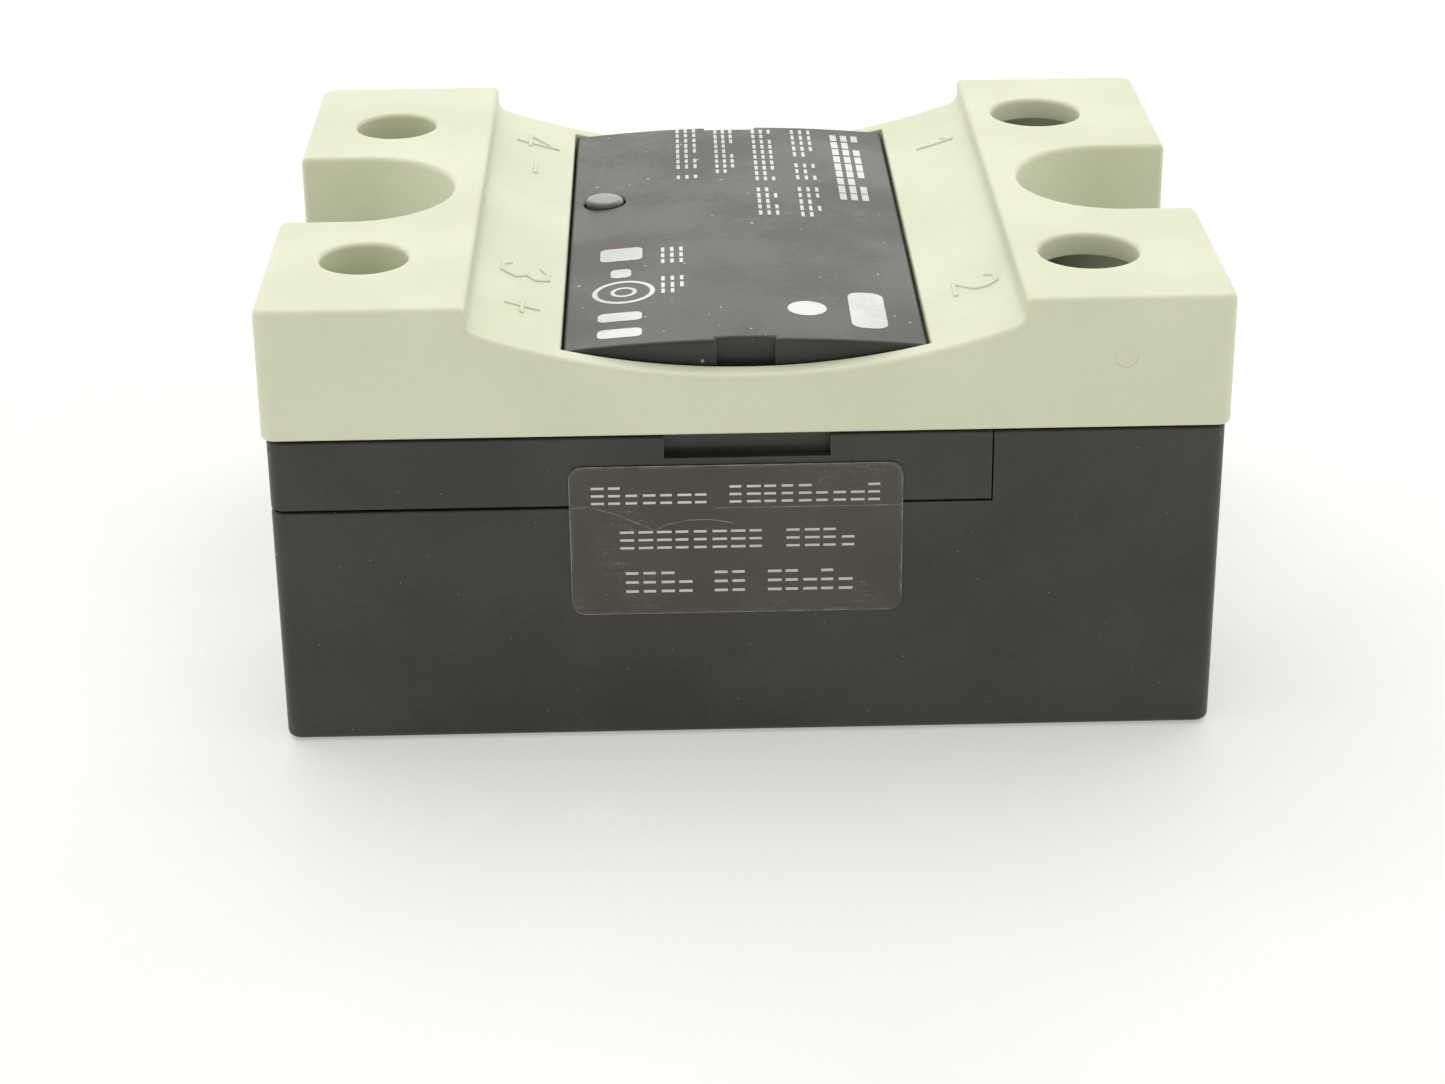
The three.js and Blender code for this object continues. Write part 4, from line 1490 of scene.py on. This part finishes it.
@dataclass
class TerminalCover:
    """The pale cover: two end blocks with a shallow valley between them, and four latches.

    Attributes:
        valley: The valley's surface.
        block_x: Where the end blocks start.
        skirt_z: Height of the cover's lower rim.
        wall: Thickness of the front and rear walls.
        end_wall: Thickness of the walls at the ends and round the notches.
        roof: Thickness of the roof.
        chamber_x: Where the space below the end blocks starts.
        window: Half the size along X and along Y of the opening for the panel.
        entry_top: Height of the wire entries.
        entry_overlap: How far the wire entries' cuts run inside the end walls.
        collar_wall: Thickness of the collars round the control end's holes.
        latch: Spans of a latch.
        top_edge: Rounding of the outer edges; the next six round the edges that they name.
        mark_width: Width of the moulded signs' ridges.
        mark_rise: Their height.
        mark_edge: Their rounding.
        marks: The moulded signs.
        crater: Centre and radius of the shallow moulding mark on the front.
        crater_depth: Its depth.
    """

    valley: Bow = Bow(24.3, 48)
    block_x: float = 16.55
    skirt_z: float = 20.5
    wall: float = 1.5
    end_wall: float = 1.3
    roof: float = 1.4
    chamber_x: float = 17.2
    window: Span = (11.05, 20.9)
    entry_top: float = 25
    entry_overlap: float = 0.15
    collar_wall: float = 0.9
    latch: tuple[Span, Span] = ((11.5, 13.6), (19.95, 20.95))
    top_edge: float = 0.42
    hole_edge: float = 0.3
    notch_edge: float = 0.35
    step_edge: float = 0.3
    step_fillet: float = 0.5
    skirt_edge: float = 0.2
    window_edge: float = 0.12
    mark_width: float = 0.26
    mark_rise: float = 0.1
    mark_edge: float = 0.05
    marks: tuple[RaisedMark, ...] = (
        RaisedMark("4 -", -14.9, 17.9, 2.7, 2.9), RaisedMark("3 +", -14.9, -8.4, 2.8, 3.0),
        RaisedMark("1", 13.1, 15.6, 2.3, 3), RaisedMark("2", 13.1, -12.6, 2.5, 3),
    )
    crater: tuple[Point, float] = ((22.55, 25.07), 0.72)
    crater_depth: float = 0.05

    def build(self) -> list[Piece]:
        """Builds the cover and its moulded signs.

        Returns:
            The new pieces.
        """
        box = Extent.of("terminal_cover")
        self.top = box.high.z
        self.plan = Plan(box.high.x, box.high.y)
        shell = self._body().cut([self._inside(), *self._openings()]).add(self._latches())
        shell = shell.rounded(self._radius)
        return [place("terminal_cover_dressed", shell, PALE, "cover", "terminal_cover"), self._signs()]

    def _profile(self, end_x: float, valley_x: float, top: float, foot: float, drop: float) -> list[Point]:
        """Returns the outline of the blocks and the valley, seen from the front."""
        left, right = [(-end_x, foot), (-end_x, top)], [(end_x, top), (end_x, foot)]
        middle = [(-valley_x, top), *self.valley.outline(valley_x, drop), (valley_x, top)]
        return left + middle + right

    def _body(self) -> Solid:
        """Returns the outside of the cover."""
        profile = self._profile(self.plan.half_x + 1, self.block_x, self.top, self.skirt_z, 0)
        bar = Solid.prism(profile, Axis.Y, about(0, self.plan.half_y + 1))
        return self.plan.block((self.skirt_z - 1, self.top + 1)).common(bar)

    def _inside(self) -> Solid:
        """Returns the space inside the cover."""
        roof = self.top - self.roof
        end_x = self.plan.half_x - self.end_wall
        profile = self._profile(end_x, self.chamber_x, roof, self.skirt_z - 1, self.roof)
        space = Solid.prism(profile, Axis.Y, about(0, self.plan.half_y - self.wall))
        reach = self.plan.notch_r + self.end_wall
        walls = [Solid.prism(channel(e, self.plan.notch_x, reach, PAST_END), Axis.Z, TALL) for e in (1, -1)]
        collars = [
            t.post(t.access + self.collar_wall, (roof - t.collar, TALL[1])) for t in TERMINALS if t.collar
        ]
        return space.cut([*walls, *collars])

    def _openings(self) -> list[Solid]:
        """Returns the window, the drivers' holes and the wire entries."""
        cuts = [Solid.slab(*self.window, TALL)]
        inner = self.plan.half_x - self.end_wall - self.entry_overlap
        for t in TERMINALS:
            cuts.append(t.post(t.access, (self.skirt_z, TALL[1])))
            x, y = t.outwards(inner, PAST_END), about(t.place.y, t.entry)
            cuts.append(Solid.box(x, y, (self.skirt_z - 1, self.entry_top)))
        front = -self.plan.half_y
        cuts.append(Solid.prism(circle(*self.crater), Axis.Y, (front - 1, front + self.crater_depth)))
        return cuts

    def _latches(self) -> list[Solid]:
        """Returns the four latches below the valley."""
        low = Extent.of("terminal_cover").low.z
        return mirrored(*self.latch, (low, self.valley.middle_z))

    def _radius(self, a: Vector, b: Vector) -> float:
        """Rounds each outer edge as much as the moulding does, and leaves the inside alone.

        Args:
            a: One end of the edge.
            b: Its other end.

        Returns:
            The radius for that edge.
        """
        middle = (a + b) / 2
        far_x, far_y = abs(middle.x) > self.plan.half_x - NEAR, abs(middle.y) > self.plan.half_y - NEAR
        flat_top = min(a.z, b.z) > self.top - NEAR
        if flat_top and min(t.rim_distance(middle) for t in TERMINALS) < NEAR:
            return self.hole_edge
        if flat_top and self.plan.is_notch_rim(middle):
            return self.notch_edge
        at_step = abs(abs(middle.x) - self.block_x) < NEAR
        if at_step and middle.z > self.valley.height(self.block_x) - NEAR:
            return self.step_edge if flat_top or abs(a.z - b.z) > 0.5 else self.step_fillet
        if flat_top:
            return self.top_edge
        if max(a.z, b.z) < self.skirt_z + NEAR:
            return self.skirt_edge if self.plan.is_outside(a) and self.plan.is_outside(b) else 0.0
        if abs(a.z - b.z) > 2 and far_x:
            return self.notch_edge
        if far_y and abs(middle.x) < self.block_x:
            return self.top_edge
        in_window = abs(middle.x) < self.window[0] + NEAR and middle.z > self.valley.middle_z - NEAR
        return self.window_edge if in_window or far_x else 0.0

    def _lay(self, point: Point, height: float) -> Triple:
        """Returns the place at a height above the valley."""
        return (point[0], point[1], self.valley.height(point[0]) + height)

    def _signs(self) -> Piece:
        """Builds the moulded signs in the valley.

        Returns:
            The new piece.
        """
        bm = bmesh.new()
        for mark in self.marks:
            for line in mark.lines():
                strip(bm, line, self.mark_width, self._lay, (-0.2, self.mark_rise), 6)
        signs = Solid.of(bm).rounded(lambda a, b: self.mark_edge, 2)
        return place("cover_signs", signs, PALE, "cover")


@dataclass
class TerminalScrew:
    """One terminal's pan-head screw with its cross and slot recess.

    Attributes:
        terminal: Where it stands.
        height: Height of the head.
        shank: Radius of the plain shank.
        thread: Radius over the thread's ridges.
        pitch: From one ridge to the next.
        bend: Radius of the head's rounding, as a share of its height.
        slot: Depth of the slot, as a share of the head's height.
        cross: Depth of the cross, as a share of the head's height.
        arm: Length of the cross's arms, as a share of the head's radius.
        blade: Half the width of the slot and of the arms, as a share of the head's radius.
    """

    terminal: Terminal
    height: float = 3.0
    shank: float = 2.4
    thread: float = 2.5
    pitch: float = 0.8
    bend: float = 0.312
    slot: float = 0.4
    cross: float = 0.55
    arm: float = 0.62
    blade: float = 0.14

    def build(self) -> list[Piece]:
        """Builds the screw.

        Returns:
            The new pieces.
        """
        node = self.terminal.node("screw")
        box = Extent.of(node)
        body = Solid.turned((box.middle.x, box.middle.y), self._profile(box))
        for recess in self._recess(box):
            body = body.cut([recess])
        return [place(f"{node}_dressed", body, ZINC, node, node)]

    def _profile(self, box: Extent) -> list[Point]:
        """Returns radius and height along the tip, the ridges of the thread, the shank and the head.

        Args:
            box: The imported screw's extent.

        Returns:
            The profile's points.
        """
        foot, top, head = box.low.z, box.high.z, box.size.x / 2
        under, tip = top - self.height, foot + self.thread * 0.3
        profile = [(0, foot), (self.thread * 0.7, foot), (self.thread - 0.1, tip)]
        z = tip + self.pitch
        while z < under - 1:
            valley = (self.thread - self.pitch * 0.45, z - self.pitch * 0.05)
            profile += [(self.thread, z - self.pitch / 2), valley]
            z += self.pitch
        profile += [(self.shank, under - 0.6), (self.shank, under), (head - 0.1, under), (head, under + 0.12)]
        bend = self.height * self.bend
        profile += arc((head - bend, top - bend), bend, 0, 90, 6)
        return [*profile, (head - bend - 0.05, top), (0, top)]

    def _recess(self, box: Extent) -> list[Solid]:
        """Returns the slot and the cross that are cut into the head.

        Args:
            box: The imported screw's extent.

        Returns:
            The cuts.
        """
        x, y = box.middle.xy
        head, top = box.size.x / 2, box.high.z
        above = top + 1
        blade, reach = head * self.blade, head * self.arm
        slot = Solid.box(about(x, head + 1), about(y, blade), (top - self.height * self.slot, above))
        half = [(reach, blade), (blade, blade), (blade, reach)]
        half += [(-px, py) for px, py in reversed(half)]
        outline = [(x + turn * px, y + turn * py) for turn in (1, -1) for px, py in half]
        return [slot, Solid.prism(outline, Axis.Z, (top - self.height * self.cross, above + 1))]


def screw_for(terminal: Terminal) -> TerminalScrew:
    """Returns a terminal's screw, which is smaller at the control end."""
    if terminal.kind == "output":
        return TerminalScrew(terminal)
    return TerminalScrew(terminal, height=2.4, shank=1.42, thread=1.5, pitch=0.5)


@dataclass
class LightPipe:
    """The clear rod that carries the status light to the panel.

    Attributes:
        radius: Radius of the rod.
        dome: Rounding of its tip.
        flange: Heights of the flange's edge and of the cone above it.
        foot_edge: Chamfer of the flange's foot.
    """

    radius: float = 1.275
    dome: float = 0.3
    flange: Span = (1.0, 1.4)
    foot_edge: float = 0.1

    def build(self) -> list[Piece]:
        """Builds the rod with its flange and domed tip.

        Returns:
            The new pieces.
        """
        box = Extent.of("light_pipe")
        low, top, flange = box.low.z, box.high.z, box.size.x / 2
        tip = self.radius - self.dome
        profile = [
            (0, low), (flange - self.foot_edge, low), (flange, low + self.foot_edge),
            (flange, low + self.flange[0]), (self.radius, low + self.flange[1]),
            *arc((tip, top - self.dome), self.dome, 0, 80, 8), (tip - 0.1, top), (0, top),
        ]
        rod = Solid.turned((box.middle.x, box.middle.y), profile)
        return [place("light_pipe_dressed", rod, LENS, "root", "light_pipe")]


@dataclass
class SealLabel:
    """The film label across the seam, with rows of blank signs for its print.

    Attributes:
        corner: Rounding of its corners.
        ply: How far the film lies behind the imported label's front, which leaves room for the ink.
        film_edge: Rounding of the film's edges.
        crease_z: Height of the crease over the seam.
        hairline: Width of the cut edge, the crease and the scratches.
        scratches: Points along each scratch.
        rows: Rows of blank signs.
    """

    corner: float = 0.8
    ply: float = 0.02
    film_edge: float = 0.025
    crease_z: float = 15.62
    hairline: float = 0.05
    scratches: tuple[tuple[Point, ...], ...] = (
        ((-10.7, 15.75), (-9.6, 15.82), (-8.0, 15.3), (-6.5, 14.6), (-5.6, 14.2)),
        ((-5.6, 14.2), (-5.0, 14.55), (-3.6, 14.85), (-2.2, 14.85), (-0.9, 14.6)),
    )
    rows: tuple[PrintedRow, ...] = (
        PrintedRow((15.95, 17.1), (-9.4, 8.4), (7, 9), 0.15, 0.62),
        PrintedRow((12.95, 14.15), (-7.7, 6.9), (8, 4), 0.15, 0.62),
        PrintedRow((10.0, 11.4), (-7.4, 6.7), (4, 2, 5), 0.17, 0.62),
    )

    def build(self) -> list[Piece]:
        """Builds the film and its print.

        Returns:
            The new pieces.
        """
        box = Extent.of("seal_label")
        outline = rounded_rectangle((box.low.x, box.high.x), (box.low.z, box.high.z), self.corner)
        front = box.low.y + self.ply
        film = Solid.prism(outline, Axis.Y, (front, box.high.y)).rounded(lambda a, b: self.film_edge, 2)

        def lay(point: Point, height: float) -> Triple:
            """Returns the place at a height in front of the film."""
            return (point[0], front - height, point[1])

        edge = bmesh.new()
        inset = self.hairline / 2
        x, z = (box.low.x + inset, box.high.x - inset), (box.low.z + inset, box.high.z - inset)
        rim = rounded_rectangle(x, z, self.corner)
        paths = [[*rim, rim[0]], *self.scratches, ((-2.0, self.crease_z), (box.high.x - 0.2, self.crease_z))]
        for path in paths:
            for line in zip(path, path[1:]):
                strip(edge, line, self.hairline, lay, (-self.ply, 0.012), 1)
        chance = random.Random(9)
        bm = bmesh.new()
        for row in self.rows:
            for line in row.lines(chance):
                strip(bm, line, row.pen, lay, (-self.ply, 0.016), 1)
        return [
            place("seal_label_film", film, FILM, "root", "seal_label"),
            place("seal_label_edge", Solid.of(edge), CUT_EDGE, "root"),
            place("seal_label_print", Solid.of(bm), FILM_INK, "root"),
        ]


@dataclass
class PackedParts:
    """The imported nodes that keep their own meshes: the inner parts, the clamps and the lugs.

    Attributes:
        edge: Rounding of their edges.
        least_angle: Bends below this many degrees stay as they are.
    """

    edge: float = 0.06
    least_angle: float = 50

    def build(self) -> list[Piece]:
        """Gives each kept node its finish and a small edge rounding.

        Returns:
            The new pieces.
        """
        slots = {part["node"]: part["material_slot"] for part in frame["record"]["subparts"]}
        kept = {name: obj for name, obj in frame["nodes"].items() if not obj.hide_render}
        for name, obj in kept.items():
            obj.data.materials.clear()
            obj.data.materials.append(INNER_FINISHES[slots[name]].material())
            rounding = obj.modifiers.new("edges", "BEVEL")
            rounding.width = self.edge * MM
            rounding.segments = 2
            rounding.limit_method = "ANGLE"
            rounding.angle_limit = math.radians(self.least_angle)
        return list(kept.values())


# ---------------------------------------------------------------- studio


@dataclass
class Studio:
    """The camera, the pale sweep under the relay, the lights and the surroundings.

    Attributes:
        target: What the camera looks at, in millimetres.
        distance: From the target to the camera.
        turn: Azimuth, elevation and roll of the camera, in degrees.
        lens: Focal length.
        sensor: Width of the sensor.
        shift: Vertical shift of the frame.
        floor_half: Half the side of the floor, in metres.
        near_light: Brightness of the surroundings on the camera's side.
        far_light: Brightness of the surroundings behind the relay.
        key: Power of the overhead light, in watts.
        key_size: Its side, in metres.
        key_place: Where it hangs, in metres.
    """

    target: Triple = (-1.09, 0.0, 9.25)
    distance: float = 206.06
    turn: Triple = (-1.04, 23.84, -0.62)
    lens: float = 75.44
    sensor: float = 36
    shift: float = -0.06
    floor_half: float = 3.0
    near_light: float = 0.68
    far_light: float = 1.5
    key: float = 1.0
    key_size: float = 0.7
    key_place: Triple = (-0.12, 0.1, 0.75)

    def build(self) -> None:
        """Builds the whole studio."""
        self._camera()
        self._floor()
        self._light()
        self._world()
        scene = bpy.context.scene
        scene.view_settings.view_transform = "Standard"
        scene.cycles.max_bounces = 10

    def _camera(self) -> None:
        """Sets the camera up."""
        azimuth, elevation, roll = (math.radians(a) for a in self.turn)
        flat = math.cos(elevation)
        back = Vector((math.sin(azimuth) * flat, -math.cos(azimuth) * flat, math.sin(elevation)))
        level = (-back).cross(Vector((0, 0, 1))).normalized()
        upright = level.cross(-back)
        right = level * math.cos(roll) + upright * math.sin(roll)
        up = upright * math.cos(roll) - level * math.sin(roll)
        data = bpy.data.cameras.new("camera")
        data.sensor_width = self.sensor
        data.lens = self.lens
        data.shift_y = self.shift
        data.clip_start = 0.01
        camera = show("camera", data)
        turned = Matrix((right, up, back)).transposed().to_4x4()
        camera.matrix_world = Matrix.Translation((Vector(self.target) + back * self.distance) * MM) @ turned
        bpy.context.scene.camera = camera

    def _floor(self) -> None:
        """Lays the pale floor."""
        bm = bmesh.new()
        bmesh.ops.create_grid(bm, x_segments=8, y_segments=8, size=self.floor_half)
        mesh = bpy.data.meshes.new("floor")
        bm.to_mesh(mesh)
        bm.free()
        mesh.materials.append(SWEEP.material())
        show("floor", mesh)

    def _light(self) -> None:
        """Hangs the soft overhead light."""
        data = bpy.data.lights.new("overhead", "AREA")
        data.energy = self.key
        data.size = self.key_size
        data.color = (1, 0.995, 0.97)
        light = show("overhead", data)
        light.location = self.key_place
        light.rotation_euler = Vector(self.key_place).to_track_quat("Z", "Y").to_euler()

    def _world(self) -> None:
        """Surrounds the relay with soft light that is brighter behind it."""
        world = bpy.data.worlds.new("surroundings")
        world.use_nodes = True
        bpy.context.scene.world = world
        wiring = Wiring(world.node_tree)
        parts = wiring.node("SeparateXYZ")
        wiring.link(wiring.node("TexCoord").outputs["Generated"], parts.inputs[0])
        strength = wiring.spread(parts.outputs["Y"], (-0.35, 0.75), (self.near_light, self.far_light))
        background = world.node_tree.nodes["Background"]
        background.inputs["Color"].default_value = (1, 0.998, 0.98, 1)
        wiring.link(strength, background.inputs["Strength"])


def main() -> None:
    """Builds the relay and its studio, and reports the pieces."""
    logging.basicConfig(level=logging.INFO, format="%(message)s")
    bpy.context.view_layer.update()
    assemblies = [BasePlate(), LowerHousing(), UpperHousing(), PanelPrint(), TerminalCover()]
    assemblies += [LightPipe(), SealLabel(), *map(screw_for, TERMINALS), PackedParts()]
    pieces = [piece for assembly in assemblies for piece in assembly.build()]
    Studio().build()
    LOG.info("%d pieces in all", len(pieces))


if __name__ == "__main__":
    main()
